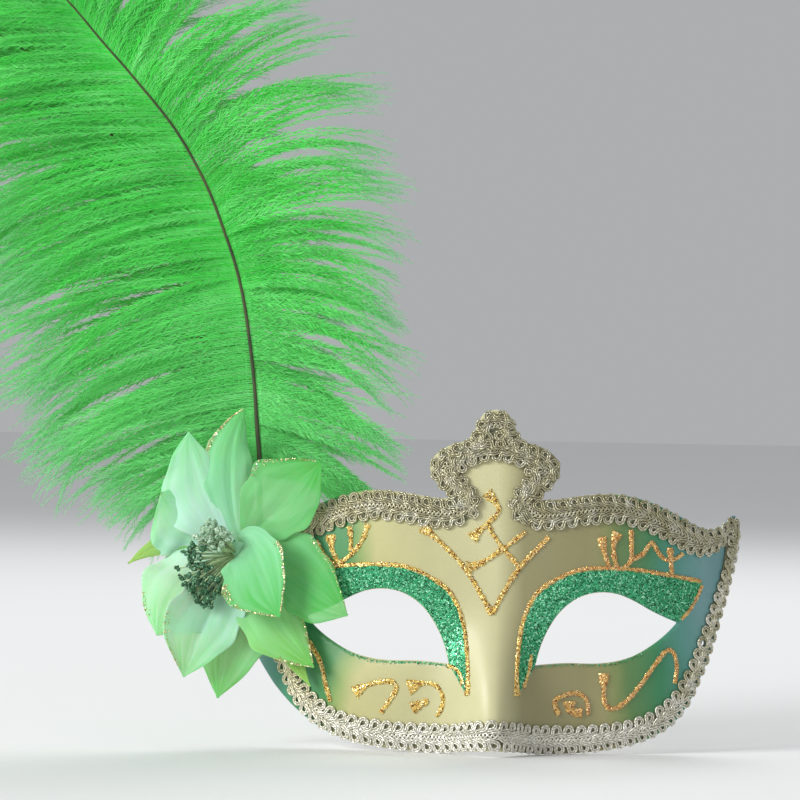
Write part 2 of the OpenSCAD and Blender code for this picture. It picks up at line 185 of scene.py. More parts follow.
def tube(path, side, up, radii, sides=6):
    """Round tube along a path, with closed ends. side and up are its cross directions."""
    path = np.asarray(path, float)
    radii = np.broadcast_to(np.asarray(radii, float), len(path)).copy()
    path = np.vstack([path[:1], path, path[-1:]])
    side, up = (np.vstack([v[:1], v, v[-1:]]) for v in (side, up))
    radii = np.concatenate([[radii[0] * 0.05], radii, [radii[-1] * 0.05]])
    a = np.arange(sides) * 2 * math.pi / sides
    ring = (path[:, None] + radii[:, None, None] * (side[:, None] * np.cos(a)[None, :, None]
                                                    + up[:, None] * np.sin(a)[None, :, None]))
    return ring.reshape(-1, 3), grid_faces(len(path), sides, wrap=True)


# Up direction of tubes that stand free of the face.
FREE_GUIDE = [0.1, 1, 0.05]


def guided_tube(path, up, radii, sides=6):
    """Round tube along a path, with its corners lined up by an up direction."""
    way = unit(np.gradient(path, axis=0))
    across = unit(np.cross(way, up))
    return tube(path, across, np.cross(across, way), radii, sides)


GRAIN_CORNERS = np.array([[1, 0, 0], [-1, 0, 0], [0, 1, 0], [0, -1, 0], [0, 0, 1], [0, 0, -1]])
GRAIN_FACES = np.array([[0, 2, 4], [2, 1, 4], [1, 3, 4], [3, 0, 4],
                        [2, 0, 5], [1, 2, 5], [3, 1, 5], [0, 3, 5]])
GRAIN_UV = [[1, 0.5], [0, 0.5], [0.5, 1], [0.5, 0], [0.3, 0.3], [0.7, 0.7]]


def scatter_grains(spots, normals, size, rng, squash=1.0):
    """Small faceted grains at the spots, each turned at random and squashed along its normal."""
    n = len(spots)
    frames = np.linalg.qr(rng.normal(size=(n, 3, 3)))[0]
    scale = size * rng.uniform(0.6, 1.2, (n, 1, 1)) * rng.uniform(0.6, 1, (n, 1, 3))
    local = (GRAIN_CORNERS[None] * scale) @ frames
    lift = np.sum(local * normals[:, None], axis=2, keepdims=True) * normals[:, None]
    local = local - lift * (1 - squash)
    firsts = len(GRAIN_CORNERS) * np.arange(n)[:, None, None]
    return (spots[:, None] + local).reshape(-1, 3), (GRAIN_FACES[None] + firsts).reshape(-1, 3)


def cell_uv(count, local, left=0.0):
    """UVs for many small alike parts, each in its own cell of the sheet to the right of left."""
    local = np.asarray(local, float)
    grid = int(math.ceil(math.sqrt(count)))
    row, col = np.divmod(np.arange(count), grid)
    corner = np.stack([col, row], axis=1)[:, None]
    return ((corner + 0.1 + 0.8 * local[None]) / grid).reshape(-1, 2) * [1 - left, 1] + [left, 0]


def grains_uv(grains, left=0.0):
    return cell_uv(len(grains[0]) // len(GRAIN_CORNERS), GRAIN_UV, left)


BASE_UV, GRAINS_UV = 0.24, 0.25


def grainy(name, base, grains, look, slot, replaced):
    """A piece of a base, given as one or more parts, and many grains lying on it.
    The base has the left of the UV sheet, and the grains have the rest."""
    base_verts, base_faces = merged(base)
    low, high = base_verts.min(axis=0), base_verts.max(axis=0)
    base_uv = ((base_verts - low) / (high - low))[:, [0, 2]] * [BASE_UV, 1]
    solid(name, *merged([(base_verts, base_faces), grains]), look, slot, replaces=replaced,
          uv=np.vstack([base_uv, grains_uv(grains, GRAINS_UV)]), smooth=False)


# ---- Face surface, the same as in the CAD ----------------------------------------------

WALL = 1.6
WRAP_W, WRAP_D = 88, 62
NOSE_REACH, NOSE_W, NOSE_TOP, NOSE_RUN = 16, 11, 18, 46
SOCKET_DEPTH = 3


def raw_front(x, z):
    """Y of the front of the face before it is shifted: wrap, lean, eye sockets and nose."""
    t = np.clip((NOSE_TOP - z) / NOSE_RUN, 0, 1)
    nose = NOSE_REACH * t * t * (3 - 2 * t) * np.exp(-(x / NOSE_W) ** 2)
    socket = SOCKET_DEPTH * np.exp(-((np.abs(x) - 38) / 22) ** 2 - ((z - 4) / 13) ** 2)
    lean = 0.0015 * np.maximum(0, z - 10) ** 2 + 0.002 * np.minimum(0, z + 5) ** 2
    return WRAP_D * (1 - np.sqrt(1 - (x / WRAP_W) ** 2)) + lean + socket - nose


FRONT_SHIFT = raw_front(np.float64(0), np.float64(0)) + WALL


def front(x, z):
    return raw_front(x, z) - FRONT_SHIFT


def face_normal(x, z):
    """Unit vectors that point out of the front of the face."""
    e = 0.5
    sx = front(x + e, z) - front(x - e, z)
    sz = front(x, z + e) - front(x, z - e)
    return unit(np.stack([sx, -np.ones_like(sx), sz], axis=-1))


def on_face(flat, lift=0.0):
    """Points of the face from X and Z, raised off its front by lift."""
    flat = np.asarray(flat, float)
    x, z = flat[..., 0], flat[..., 1]
    base = np.stack([x, front(x, z), z], axis=-1)
    return base + face_normal(x, z) * np.asarray(lift)[..., None]


CROWN_RIM = [[0, 75.8], [3.6, 74.8], [5.6, 71.4], [7.6, 67.2], [11, 65], [16, 63.4],
             [20.2, 59.8], [20.9, 56], [19.2, 52.4], [16, 49.4], [13.4, 46.7]]
BROW_RIM = [[13.4, 46.7], [20, 46.8], [27, 47.9], [34, 48.7], [41, 48.7], [48, 47.3],
            [55, 44.8], [62, 41.4], [67, 38.6], [72, 37.3], [76.5, 38.4], [80.6, 42.4]]
SIDE_RIM = [[80.6, 42.4], [82.4, 38], [81.4, 30], [79.2, 21], [76.6, 11.5], [74.6, 4],
            [72, -4.5], [69, -12], [65.8, -19], [61, -25.4], [54.5, -29.8], [46.5, -32.8],
            [36, -34.7], [25, -35.6], [15, -35.6], [8, -34.4], [0, -33.8]]
CROWN_INNER = [[0, 59.4], [5, 58.6], [9.4, 56.4], [9.4, 52.8], [6.2, 49], [4.6, 45.6],
               [5.2, 42], [8.6, 38.6], [14, 36.9]]
BROW_INNER = [[14, 36.9], [22, 37.4], [30, 38.8], [38, 39.5], [46, 38.3], [53, 35.4],
              [60, 31.4], [66, 28.9], [72, 28.8], [77.2, 32.6]]
SIDE_INNER = [[77.2, 32.6], [75.8, 23.5], [73, 13.5], [70.4, 5], [66.8, -4.5], [63, -12],
              [58.5, -18.2], [52, -22.4], [43, -24.8], [31, -26], [18, -26.2], [8, -25.4],
              [0, -24.2]]
EYE_UPPER = [[13.8, -7.2], [15.2, -1.5], [18, 5], [22, 10.9], [27, 14.9], [32, 16.8],
             [37, 17.2], [42, 16.3], [47, 14.1], [52, 11.3], [57, 8.9], [61.6, 7]]
EYE_LOWER = [[61.6, 7], [57.5, 2.8], [52.5, -1], [46.5, -4.3], [40, -6.1], [33, -6.7],
             [24, -6.5], [13.8, -7.2]]
BAND_OUTER = [[8, -16.6], [8, -7], [9.6, 6], [13.4, 15.2], [19, 20.1], [27, 23.8],
              [35, 24.8], [46, 24.4], [57, 22.7], [69, 20.4]]
BAND_TIP = [[69.4, 19], [66, 12.2], [62.4, 8]]
RIM_FLARE = [[-27, 0], [-20, 2.4], [-14, 4.6], [-6, 6.4], [4, 6], [16, 4], [30, 1.5], [42, 0]]


def rim_outline():
    half = np.vstack([spline(CROWN_RIM, 3)[:-1], spline(BROW_RIM, 2)[:-1], spline(SIDE_RIM, 2)])
    path = np.vstack([half, flip(half)[-2:0:-1]])
    z, extra = np.array(RIM_FLARE, float).T
    low_left = (path[:, 0] < -40) & (path[:, 1] < 42)
    path[:, 0] -= np.where(low_left, np.interp(path[:, 1], z, extra), 0)
    return path


def eye_outline():
    return np.vstack([spline(EYE_UPPER, 3)[:-1], spline(EYE_LOWER, 3)[:-1]])


def band_outline():
    return np.vstack([spline(BAND_OUTER, 3), BAND_TIP, spline(EYE_UPPER, 3)[::-1]])


TIE_HOLE = np.array([69.9, 0])
TIE_HOLE_R = 1.2


def tie_hole_outline():
    """The round tie hole as it falls on the slanting side of the face, in X and Z."""
    a = np.arange(24) * 2 * math.pi / 24
    squeeze = abs(face_normal(*TIE_HOLE)[1])
    return TIE_HOLE + TIE_HOLE_R * np.stack([squeeze * np.cos(a), np.sin(a)], axis=1)


def evenly(loop, step):
    """A closed loop at about one spacing, without its repeated last point."""
    closed = np.vstack([loop, loop[:1]])
    return resample(closed, max(20, int(runs(closed)[-1] / step)) + 1)[:-1]


def inside(points, loop):
    """Whether each point is inside a closed loop."""
    x, z = points[:, 0], points[:, 1]
    hit = np.zeros(len(points), bool)
    for (x0, z0), (x1, z1) in zip(loop, np.roll(loop, -1, axis=0)):
        if z0 != z1:
            crosses = (z0 > z) != (z1 > z)
            hit ^= crosses & (x < x0 + (z - z0) * (x1 - x0) / (z1 - z0))
    return hit


def on_sheet(points, loops):
    """Whether each point is inside the first loop and outside the others, its holes."""
    keep = inside(points, loops[0])
    for hole in loops[1:]:
        keep &= ~inside(points, hole)
    return keep


def triangulated(outlines, step):
    """Points, triangles and border edges over a sheet given as an outline and its holes.
    The borders' points come first."""
    low, high = outlines[0].min(axis=0), outlines[0].max(axis=0)
    loops = [evenly(outline, step) for outline in outlines]
    border = np.vstack(loops)
    rows = np.arange(low[1], high[1], step * 0.87)
    field = np.array([[x, z] for k, z in enumerate(rows)
                      for x in np.arange(low[0] + (k % 2) * step / 2, high[0], step)])
    gap = np.min(np.linalg.norm(field[:, None] - border[None], axis=2), axis=1)
    points = np.vstack([border, field[on_sheet(field, loops) & (gap > 0.55 * step)]])
    edges, start = [], 0
    for loop in loops:
        n = len(loop)
        edges += [(start + k, start + (k + 1) % n) for k in range(n)]
        start += n
    cdt = geometry.delaunay_2d_cdt([Vector(p) for p in points], edges, [], 0, 1e-4)
    flat = np.array([list(v) for v in cdt[0]])
    tris = np.array(cdt[2])
    return flat, tris[on_sheet(flat[tris].mean(axis=1), loops)], edges


# ---- Materials -------------------------------------------------------------------------

def material(name, base, rough=0.5, metallic=0.0, **more):
    """A Principled material. more holds the shader's other constant inputs by name."""
    m = bpy.data.materials.new(name)
    m.use_nodes = True
    p = m.node_tree.nodes["Principled BSDF"]
    p.inputs["Base Color"].default_value = (*base, 1)
    p.inputs["Roughness"].default_value = rough
    p.inputs["Metallic"].default_value = metallic
    for key, value in more.items():
        p.inputs[key.replace("_", " ")].default_value = value
    return m


class Graph:
    """Short hand for adding linked nodes to a material."""

    def __init__(self, m):
        self.nodes = m.node_tree.nodes
        self.links = m.node_tree.links
        self.shader = self.nodes["Principled BSDF"]

    def node(self, kind, inputs, **settings):
        n = self.nodes.new("ShaderNode" + kind)
        for key, value in settings.items():
            setattr(n, key, value)
        for key, value in inputs.items():
            self.put(n.inputs[key], value)
        return n

    def put(self, socket, value):
        if isinstance(value, bpy.types.NodeSocket):
            self.links.new(value, socket)
        else:
            socket.default_value = value

    def math(self, kind, *values):
        return self.node("Math", dict(enumerate(values)), operation=kind).outputs[0]

    def times(self, a, b):
        return self.math("MULTIPLY", a, b)

    def objects(self):
        return self.node("TexCoord", {}).outputs["Object"]

    def place(self):
        """X, Y and Z of the surface, in metres."""
        return self.node("SeparateXYZ", {0: self.objects()}).outputs

    def uv(self):
        return self.node("SeparateXYZ", {0: self.node("UVMap", {}, uv_map="OFBake").outputs[0]}).outputs

    def noise(self, scale, detail, vector=None):
        inputs = {"Scale": scale, "Detail": detail, "Vector": vector or self.objects()}
        return self.node("TexNoise", inputs).outputs["Fac"]

    def streaks(self, across, along, detail):
        """Noise over a strip's UVs, at one scale across the strip and another along it."""
        u, v, _ = self.uv()
        stretched = self.node("CombineXYZ", {0: self.times(u, across), 1: self.times(v, along)})
        return self.noise(1.0, detail, stretched.outputs[0])

    def cells(self, scale, output="Color"):
        return self.node("TexVoronoi", {"Scale": scale, "Vector": self.objects()}).outputs[output]

    def ramp(self, value, stops):
        """A colour ramp through (place, colour) stops."""
        n = self.node("ValToRGB", {"Fac": value})
        while len(n.color_ramp.elements) < len(stops):
            n.color_ramp.elements.new(0.5)
        for element, (at, colour) in zip(n.color_ramp.elements, stops):
            element.position = at
            element.color = (*colour, 1)
        return n.outputs["Color"]

    def blend(self, factor, a, b, kind="MIX"):
        """Colour a with colour b over it. b is a constant."""
        return self.node("Mix", {0: factor, 6: a, 7: (*b, 1)}, data_type="RGBA",
                         blend_type=kind).outputs[2]

    def spread(self, value, low, high, to_low=0.0, to_high=1.0):
        """A value from low to high, spread over to_low to to_high and held there."""
        return self.node("MapRange", {0: value, 1: low, 2: high, 3: to_low, 4: to_high}).outputs[0]

    def colour(self, socket):
        self.links.new(socket, self.shader.inputs["Base Color"])

    def rough(self, socket):
        self.links.new(socket, self.shader.inputs["Roughness"])

    def bump(self, height, distance, strength):
        n = self.node("Bump", {"Height": height, "Distance": distance, "Strength": strength})
        self.links.new(n.outputs["Normal"], self.shader.inputs["Normal"])


def pearl_paint():
    """Cream in the middle, then green, teal and blue-green round each side, with painted shade right of the
    nose.
    """
    cream, tan, olive = (0.59, 0.56, 0.32), (0.48, 0.455, 0.24), (0.48, 0.45, 0.20)
    moss, emerald, forest = (0.25, 0.35, 0.10), (0.05, 0.23, 0.06), (0.03, 0.22, 0.09)
    sea, sky, slate = (0.08, 0.28, 0.24), (0.15, 0.32, 0.33), (0.09, 0.23, 0.25)
    painted_shade, pearl = (0.22, 0.20, 0.09), (0.85, 0.85, 0.66)
    eye_height, side_reach = 0.012, 0.085
    m = material("pearl_paint", (0.7, 0.65, 0.4), 0.42, Coat_Weight=0.18, Coat_Roughness=0.4,
                 Sheen_Weight=0.1)
    g = Graph(m)
    x, _, z = g.place()
    cloudy = g.noise(38, 3)
    fine = g.noise(160, 3)
    # The green starts further out over the brow and on the cheek than beside the eye,
    # and further in on the right.
    above = g.math("SUBTRACT", z, eye_height)
    lift = g.math("MAXIMUM", g.times(above, 0.1), g.times(above, -0.28))
    shifted = g.math("SUBTRACT", g.math("ABSOLUTE", x), lift)
    shifted = g.math("ADD", shifted, g.spread(x, 0.0, 0.03, 0.0, 0.008))
    shifted = g.math("MULTIPLY_ADD", g.math("SUBTRACT", cloudy, 0.5), 0.012, shifted)
    paint = g.ramp(g.spread(shifted, 0.0, side_reach),
                   [(0.0, cream), (0.22, tan), (0.42, olive), (0.485, moss), (0.54, emerald),
                    (0.68, forest), (0.80, sea), (0.90, sky), (1.0, slate)])
    # Painted shade right of the nose: the cream there is darkened towards a dark olive.
    painted_shade_mask = g.times(g.spread(x, 0.001, 0.010), g.spread(x, 0.055, 0.03))
    paint = g.blend(g.times(painted_shade_mask, 0.85), paint, painted_shade)
    g.colour(g.blend(g.times(fine, 0.25), paint, pearl, "SOFT_LIGHT"))
    g.rough(g.spread(fine, 0.3, 0.7, 0.38, 0.5))
    g.bump(fine, 0.0002, 0.25)
    return m


def gimp_thread():
    """Silver thread wound on a cord, with a fine twist. It is yellower on the left and darker on the crown,
    and whiter along the bottom, where light is painted in."""
    dull, silver, shine = (0.46, 0.43, 0.26), (0.72, 0.70, 0.54), (0.90, 0.89, 0.84)
    yellow, painted_bounce_light, dark = (0.80, 0.70, 0.36), (1.0, 0.98, 0.92), (0.34, 0.31, 0.18)
    groove = (0.22, 0.20, 0.10)
    twists = 2200.0
    m = material("gimp_thread", (0.74, 0.74, 0.60), 0.32, metallic=0.55)
    g = Graph(m)
    u, v, _ = g.uv()
    twist = g.math("SINE", g.math("MULTIPLY_ADD", u, twists, g.times(v, 6.283)))
    tone = g.ramp(g.noise(260, 2), [(0.3, dull), (0.55, silver), (0.75, shine)])
    x, _, z = g.place()
    tone = g.blend(g.spread(x, -0.085, -0.02, 0.45, 0.0), tone, yellow)
    # Painted light: the thread along the bottom is whitened as if lit from below.
    tone = g.blend(g.spread(z, -0.036, -0.012, 0.85, 0.0), tone, painted_bounce_light)
    tone = g.blend(g.spread(z, 0.02, 0.05, 0.0, 0.6), tone, dark)
    g.colour(g.blend(g.spread(twist, -1, 1, 0.0, 0.32), tone, groove))
    g.bump(twist, 0.00012, 0.6)
    return m


def gimp_shade_ground():
    """The woven strip under the cords, near-black as painted shade in the gaps between them."""
    m = material("gimp_shade_ground", (0.25, 0.25, 0.17), 0.6, metallic=0.35)
    g = Graph(m)
    weave = g.cells(1500, "Distance")
    g.colour(g.ramp(weave, [(0.1, (0.04, 0.04, 0.02)), (0.6, (0.20, 0.20, 0.12))]))
    g.bump(weave, 0.0002, 0.6)
    return m


def flake_glitter(name, dark, mid, bright, rough=0.22, cell=1500, metallic=0.85, right=None):
    """Metal flakes, each with its own tone. right is a tint that sets in towards +X."""
    m = material(name, mid, rough, metallic=metallic, Coat_Weight=0.2, Coat_Roughness=0.2)
    g = Graph(m)
    flake = g.node("SeparateColor", {0: g.cells(cell)}).outputs
    tone = g.ramp(flake[0], [(0.12, dark), (0.45, mid), (0.8, mid), (0.94, bright)])
    if right:
        tone = g.blend(g.spread(g.place()[0], 0.0, 0.03, 0.0, 0.4), tone, right)
    g.colour(tone)
    g.rough(g.spread(flake[1], 0, 1, rough * 0.6, rough * 1.8))
    return m


def organza(name, deep, pale, alpha):
    """Sheer stiffened fabric: paler at the root, crinkled lengthways, with a fine weave."""
    between = tuple(mix(np.array(pale), np.array(deep), 0.35))
    m = material(name, pale, 0.5, Sheen_Weight=0.12, Sheen_Roughness=0.4, Alpha=alpha,
                 Subsurface_Weight=0.3, Subsurface_Scale=0.004)
    g = Graph(m)
    u, v, _ = g.uv()
    crease = g.streaks(9.0, 1.6, 3)
    weave = g.times(g.math("SINE", g.times(u, 420.0)), g.math("SINE", g.times(v, 620.0)))
    towards_tip = g.math("MULTIPLY_ADD", g.math("SUBTRACT", crease, 0.5), 0.9, v)
    g.colour(g.ramp(towards_tip, [(0.05, pale), (0.5, between), (1.0, deep)]))
    g.bump(g.math("MULTIPLY_ADD", weave, 0.12, crease), 0.0012, 0.5)
    return m


def plume_barbs(name, root, mid, tip):
    """Dyed barbs: streaked from one barb to the next, greyer towards the tips, and with painted shade
    in broad dark bands. U runs along the quill and V along each barb."""
    streak_green, low_green, shadow = (0.36, 0.96, 0.38), (0.34, 0.92, 0.38), (0.02, 0.40, 0.03)
    m = material(name, mid, 0.6, Sheen_Weight=0.06, Sheen_Roughness=0.4, Specular_IOR_Level=0.2,
                 Subsurface_Weight=0.1, Subsurface_Scale=0.003)
    g = Graph(m)
    u, v, _ = g.uv()
    length = g.ramp(v, [(0.0, root), (0.3, mid), (0.7, mid), (1.0, tip)])
    light = g.blend(g.spread(g.streaks(150.0, 3.0, 3), 0.35, 0.75, 0.0, 0.5), length, streak_green)
    light = g.blend(g.spread(u, 0.0, 0.3, 0.55, 0.0), light, low_green)
    # Painted shade: broad bands of the barbs are darkened towards the shadow colour.
    painted_shade_bands = g.spread(g.streaks(14.0, 2.2, 2), 0.35, 0.7, 0.45, 0.0)
    g.colour(g.blend(painted_shade_bands, light, shadow))
    return m


def mottled(name, low, high, base, rough, spots, grain, depth=0.0003, strength=0.6, **more):
    """A material that varies between two colours. spots and grain are the scale and detail
    of the noise that colours it and of the noise that roughens it."""
    m = material(name, base, rough, **more)
    g = Graph(m)
    g.colour(g.ramp(g.noise(*spots), [(0.3, low), (0.7, high)]))
    g.bump(g.noise(*grain), depth, strength)
    return m


paint = pearl_paint()
back_paint = mottled("bare_back", (0.70, 0.68, 0.60), (0.80, 0.79, 0.72), (0.74, 0.72, 0.66), 0.6,
                     (60, 3), (420, 4), strength=0.35)
thread = gimp_thread()
shade_ground = gimp_shade_ground()
green_flakes = flake_glitter("green_flakes", (0.01, 0.11, 0.045), (0.06, 0.47, 0.21),
                             (0.44, 0.88, 0.60), rough=0.34, cell=2400, metallic=0.6)
gold_flakes = flake_glitter("gold_flakes", (0.26, 0.10, 0.02), (0.94, 0.70, 0.20),
                            (1.0, 0.96, 0.62), cell=2400, metallic=0.65, right=(0.66, 0.30, 0.16))
petal_flakes = flake_glitter("petal_flakes", (0.45, 0.40, 0.16), (0.88, 0.82, 0.48),
                             (1.0, 0.98, 0.82))
HEADS = {tone: flake_glitter("stamen_heads_" + tone, *shades, rough=0.45, cell=2600, metallic=0.2)
         for tone, shades in [
             ("dark", [(0.01, 0.05, 0.02), (0.05, 0.19, 0.08), (0.40, 0.66, 0.44)]),
             ("pale", [(0.16, 0.30, 0.18), (0.42, 0.62, 0.42), (0.84, 0.94, 0.82)])]}
ORGANZA = {cloth: organza(cloth + "_organza", deep, pale, alpha)
           for cloth, deep, pale, alpha in [
               ("mint", (0.12, 0.70, 0.15), (0.44, 0.96, 0.56), 0.84),
               ("pale", (0.30, 0.92, 0.38), (0.72, 1.0, 0.80), 0.92),
               ("grass", (0.20, 0.68, 0.11), (0.42, 0.90, 0.42), 0.88),
               ("sheer", (0.07, 0.60, 0.08), (0.33, 0.88, 0.37), 0.62),
               ("leaf", (0.36, 0.72, 0.14), (0.28, 0.72, 0.22), 0.95)]}
keratin_brown = mottled("keratin", (0.02, 0.03, 0.01), (0.07, 0.08, 0.02), (0.04, 0.05, 0.015), 0.4,
                        (90, 3), (700, 2), depth=0.0002, strength=0.3, Coat_Weight=0.1)
BARB_GREEN = {plume: plume_barbs(plume + "_plume_barbs", *shades)
              for plume, shades in [
                  ("front", [(0.05, 0.70, 0.06), (0.08, 0.78, 0.09), (0.22, 0.56, 0.30)]),
                  ("back", [(0.07, 0.72, 0.08), (0.12, 0.82, 0.14), (0.24, 0.58, 0.34)])]}
glue = mottled("hot_glue", (0.70, 0.76, 0.62), (0.84, 0.86, 0.76), (0.84, 0.86, 0.76), 0.25,
               (120, 3), (120, 3), Transmission_Weight=0.25)
felt = mottled("flower_felt", (0.30, 0.66, 0.38), (0.44, 0.80, 0.52), (0.44, 0.80, 0.52), 0.85,
               (700, 3), (700, 3), Sheen_Weight=0.5)
stem_green = mottled("stamen_stem", (0.30, 0.46, 0.20), (0.56, 0.72, 0.42), (0.56, 0.72, 0.42), 0.5,
                     (500, 3), (500, 3))


# ---- Shell -----------------------------------------------------------------------------

SHEET_STEP = 1.5
EDGE_ROUNDING = 0.28
PROBE = 0.3


def shell_outlines():
    """The rim of the shell, then its eye holes and tie holes."""
    holes = [eye_outline(), tie_hole_outline()]
    return [rim_outline()] + holes + [flip(hole) for hole in holes]


def outward(flat, edges, outlines):
    """Directions in X and Z, at each point of the borders, that point off the sheet."""
    ahead = {a: b for a, b in edges}
    behind = {b: a for a, b in edges}
    along = unit(np.array([flat[ahead[a]] - flat[behind[a]] for a, _ in edges]))
    out = np.stack([along[:, 1], -along[:, 0]], axis=1)
    loops = [evenly(outline, SHEET_STEP) for outline in outlines]
    out[on_sheet(flat[:len(edges)] + PROBE * out, loops)] *= -1
    return out


def edge_wall(edges, n):
    """Triangles from the front to the back of the shell, over the two rows of its rounded edge."""
    m = len(edges)
    wall = []
    for a, b in edges:
        rows_a, rows_b = ([k, 2 * n + k, 2 * n + m + k, n + k] for k in (a, b))
        for k in range(3):
            wall += [[rows_a[k], rows_a[k + 1], rows_b[k + 1]],
                     [rows_a[k], rows_b[k + 1], rows_b[k]]]
    return wall


def shell_skin():
    """The moulded shell with rounded edges, painted in front and bare behind."""
    outlines = shell_outlines()
    flat, tris, edges = triangulated(outlines, SHEET_STEP)
    n, m = len(flat), len(edges)
    outer = on_face(flat)
    depth = WALL / np.maximum(-face_normal(*flat.T)[:, 1], 0.2)
    inner = outer + depth[:, None] * [0, 1, 0]
    out = outward(flat, edges, outlines)
    bulge = EDGE_ROUNDING * np.insert(out, 1, 0, axis=1)
    rows = [outer[:m] * (1 - share) + inner[:m] * share + bulge for share in (0.25, 0.75)]
    faces = np.vstack([tris, tris[:, ::-1] + n, edge_wall(edges, n)])
    obj = solid("shell_skin", np.vstack([outer, inner] + rows), faces, paint, "pearl_paint",
                replaces=["shell"])
    obj.data.materials.append(back_paint)
    of_back = np.zeros(len(faces), int)
    of_back[len(tris):2 * len(tris)] = 1
    obj.data.polygons.foreach_set("material_index", of_back)
    consistent(obj)


# ---- Braid -----------------------------------------------------------------------------

# Distance between loops along the braid, and how much it varies.
BRAID_PITCH, PITCH_SCATTER = 4.1, 0.25
# Largest radius of a loop, and its largest share of the braid's width.
LOOP_R, LOOP_SHARE = 1.3, 0.17
LOOP_TILT = 0.09
STRAND_R = 0.36
STRAND_GAP = 0.34
EDGE_OVERHANG = 0.5
CORD_SIDES = 5
UV_GRID, UV_MARGIN = 30, 0.04
WIDEST_BRAID = 9.6
# The crown's second lane: its width, how far it lies over the first one, and how much wider
# than one lane the braid is before it has a second.
FOLD_BRAID, FOLD_LIFT, FOLD_SLACK = 7.0, 0.35, 1.2
GROUND_INSET, GROUND_STEP, GROUND_THICK = 1.3, 1.6, 0.45
LAYER_GAP = 0.02
SPAN_POINTS = 80
# Key points of the crown's rim and of its inner edge that lie across from each other.
CROWN_PAIRS = [(0, 0), (4, 1), (5, 2), (7, 3), (9, 4), (10, 8)]


def part_round_hole(flat):
    """Moves points out of the tie holes, so that the cords part round them."""
    shape = np.array([abs(face_normal(*TIE_HOLE)[1]), 1])
    clear = TIE_HOLE_R + STRAND_R + STRAND_GAP
    for sign in (-1, 1):
        centre = TIE_HOLE * [sign, 1]
        off = (flat - centre) / shape
        far = np.linalg.norm(off, axis=1, keepdims=True)
        moved = centre + off / np.maximum(far, 0.05) * clear * shape
        flat = np.where(far < clear, moved, flat)
    return flat


def scroll(r, reach):
    """One cord by distance along, distance out from the loop's middle, and height.
    It comes from the middle of the braid, turns round the loop and goes back over itself."""
    return spline([[3.6, -reach, 0.55], [2.0, -reach * 0.72, 0.7], [0.75, -r * 1.15, 0.7],
                   [-0.1, -r, 0.6], [-0.74 * r, -0.66 * r, 0.55], [-r, 0, 0.55],
                   [-0.7 * r, 0.7 * r, 0.55], [0, r, 0.55], [0.7 * r, 0.7 * r, 0.65],
                   [0.98 * r, 0, 0.85], [r + 0.45, -r, 1.1], [2.9, -reach * 0.62, 1.25],
                   [4.9, -reach * 0.95, 0.85]], 3)


def square_uv(index, rows):
    """Places in one cell of a square sheet of UVs, for one cord."""
    row, col = divmod(index, UV_GRID)
    u = (col + np.linspace(UV_MARGIN, 1 - UV_MARGIN, rows)) / UV_GRID
    v = (row + UV_MARGIN + (1 - 2 * UV_MARGIN) * np.arange(CORD_SIDES) / CORD_SIDES) / UV_GRID
    return np.stack(np.meshgrid(u, v, indexing="ij"), axis=-1).reshape(-1, 2)


def edge_loops(edge, other, lift, rng):
    """The cords along one edge of a length of braid, as paths on the face."""
    across = on_face(edge) - on_face(other)
    wide = np.linalg.norm(across, axis=1)
    r = np.minimum(LOOP_R, LOOP_SHARE * wide)
    inset = (r + STRAND_R + STRAND_GAP - EDGE_OVERHANG) / wide
    middle = edge + (other - edge) * inset[:, None]
    run = runs(on_face(middle))
    turned = np.cross(face_normal(*middle.T), np.gradient(on_face(middle), axis=0))
    side = np.sign(np.sum(turned * across))
    for at in np.arange(BRAID_PITCH * 0.6, run[-1] - BRAID_PITCH * 0.2, BRAID_PITCH):
        at = at + rng.uniform(-PITCH_SCATTER, PITCH_SCATTER)
        behind, centre, ahead = sample([at - 0.5, at, at + 0.5], run, middle)
        up = face_normal(*centre)
        step = on_face(ahead) - on_face(behind)
        along = unit(step - up * (step @ up))
        along = unit(along + side * np.cross(up, along) * rng.normal(0, LOOP_TILT))
        out = side * np.cross(up, along)
        size = rng.uniform(0.93, 1.06)
        r_here, wide_here = np.interp(at, run, r), np.interp(at, run, wide)
        local = scroll(r_here * size, wide_here * 0.47 - r_here - 0.7)
        flat = centre + local[:, :1] * along[[0, 2]] + local[:, 1:2] * out[[0, 2]]
        yield part_round_hole(flat), local[:, 2] + lift


def strands(flat, height):
    """The two threads of one cord, side by side."""
    path = on_face(flat, height)
    up = face_normal(*flat.T)
    side = unit(np.cross(unit(np.gradient(path, axis=0)), up))
    taper = np.interp(np.arange(len(path)), [0, 4, len(path) - 5, len(path) - 1], [0.6, 1, 1, 0.6])
    for offset in (-STRAND_GAP, STRAND_GAP):
        yield guided_tube(path + side * offset, up, STRAND_R * taper, CORD_SIDES)


PLAIT_R, PLAIT_STEP = 0.34, 0.5
PLAIT_SWING, PLAIT_LIFT, PLAIT_RISE = 1.0, 0.7, 0.25


def plait(outer, inner):
    """Three cords plaited along the middle of the braid, as tubes."""
    middle = (outer + inner) / 2
    run = runs(on_face(middle))
    at = np.arange(PLAIT_STEP, run[-1] - PLAIT_STEP, PLAIT_STEP)
    flat = sample(at, run, middle)
    up = face_normal(*flat.T)
    side = unit(np.cross(unit(np.gradient(on_face(flat), axis=0)), up))
    for k in range(3):
        turn = 2 * math.pi * (at / BRAID_PITCH + k / 3)
        shifted = flat + (side * (PLAIT_SWING * np.sin(turn))[:, None])[:, [0, 2]]
        path = on_face(part_round_hole(shifted), PLAIT_LIFT + PLAIT_RISE * np.cos(2 * turn))
        yield guided_tube(path, up, PLAIT_R, CORD_SIDES)


def layer(outlines, step, thick):
    """A thin layer on the face, over a sheet given as an outline and its holes."""
    flat, tris, edges = triangulated(outlines, step)
    n = len(flat)
    walls = [f for a, b in edges for f in ([a, b, b + n], [a, b + n, a + n])]
    verts = np.vstack([on_face(flat, thick), on_face(flat, LAYER_GAP)])
    return verts, np.vstack([tris, tris[:, ::-1] + n, walls])


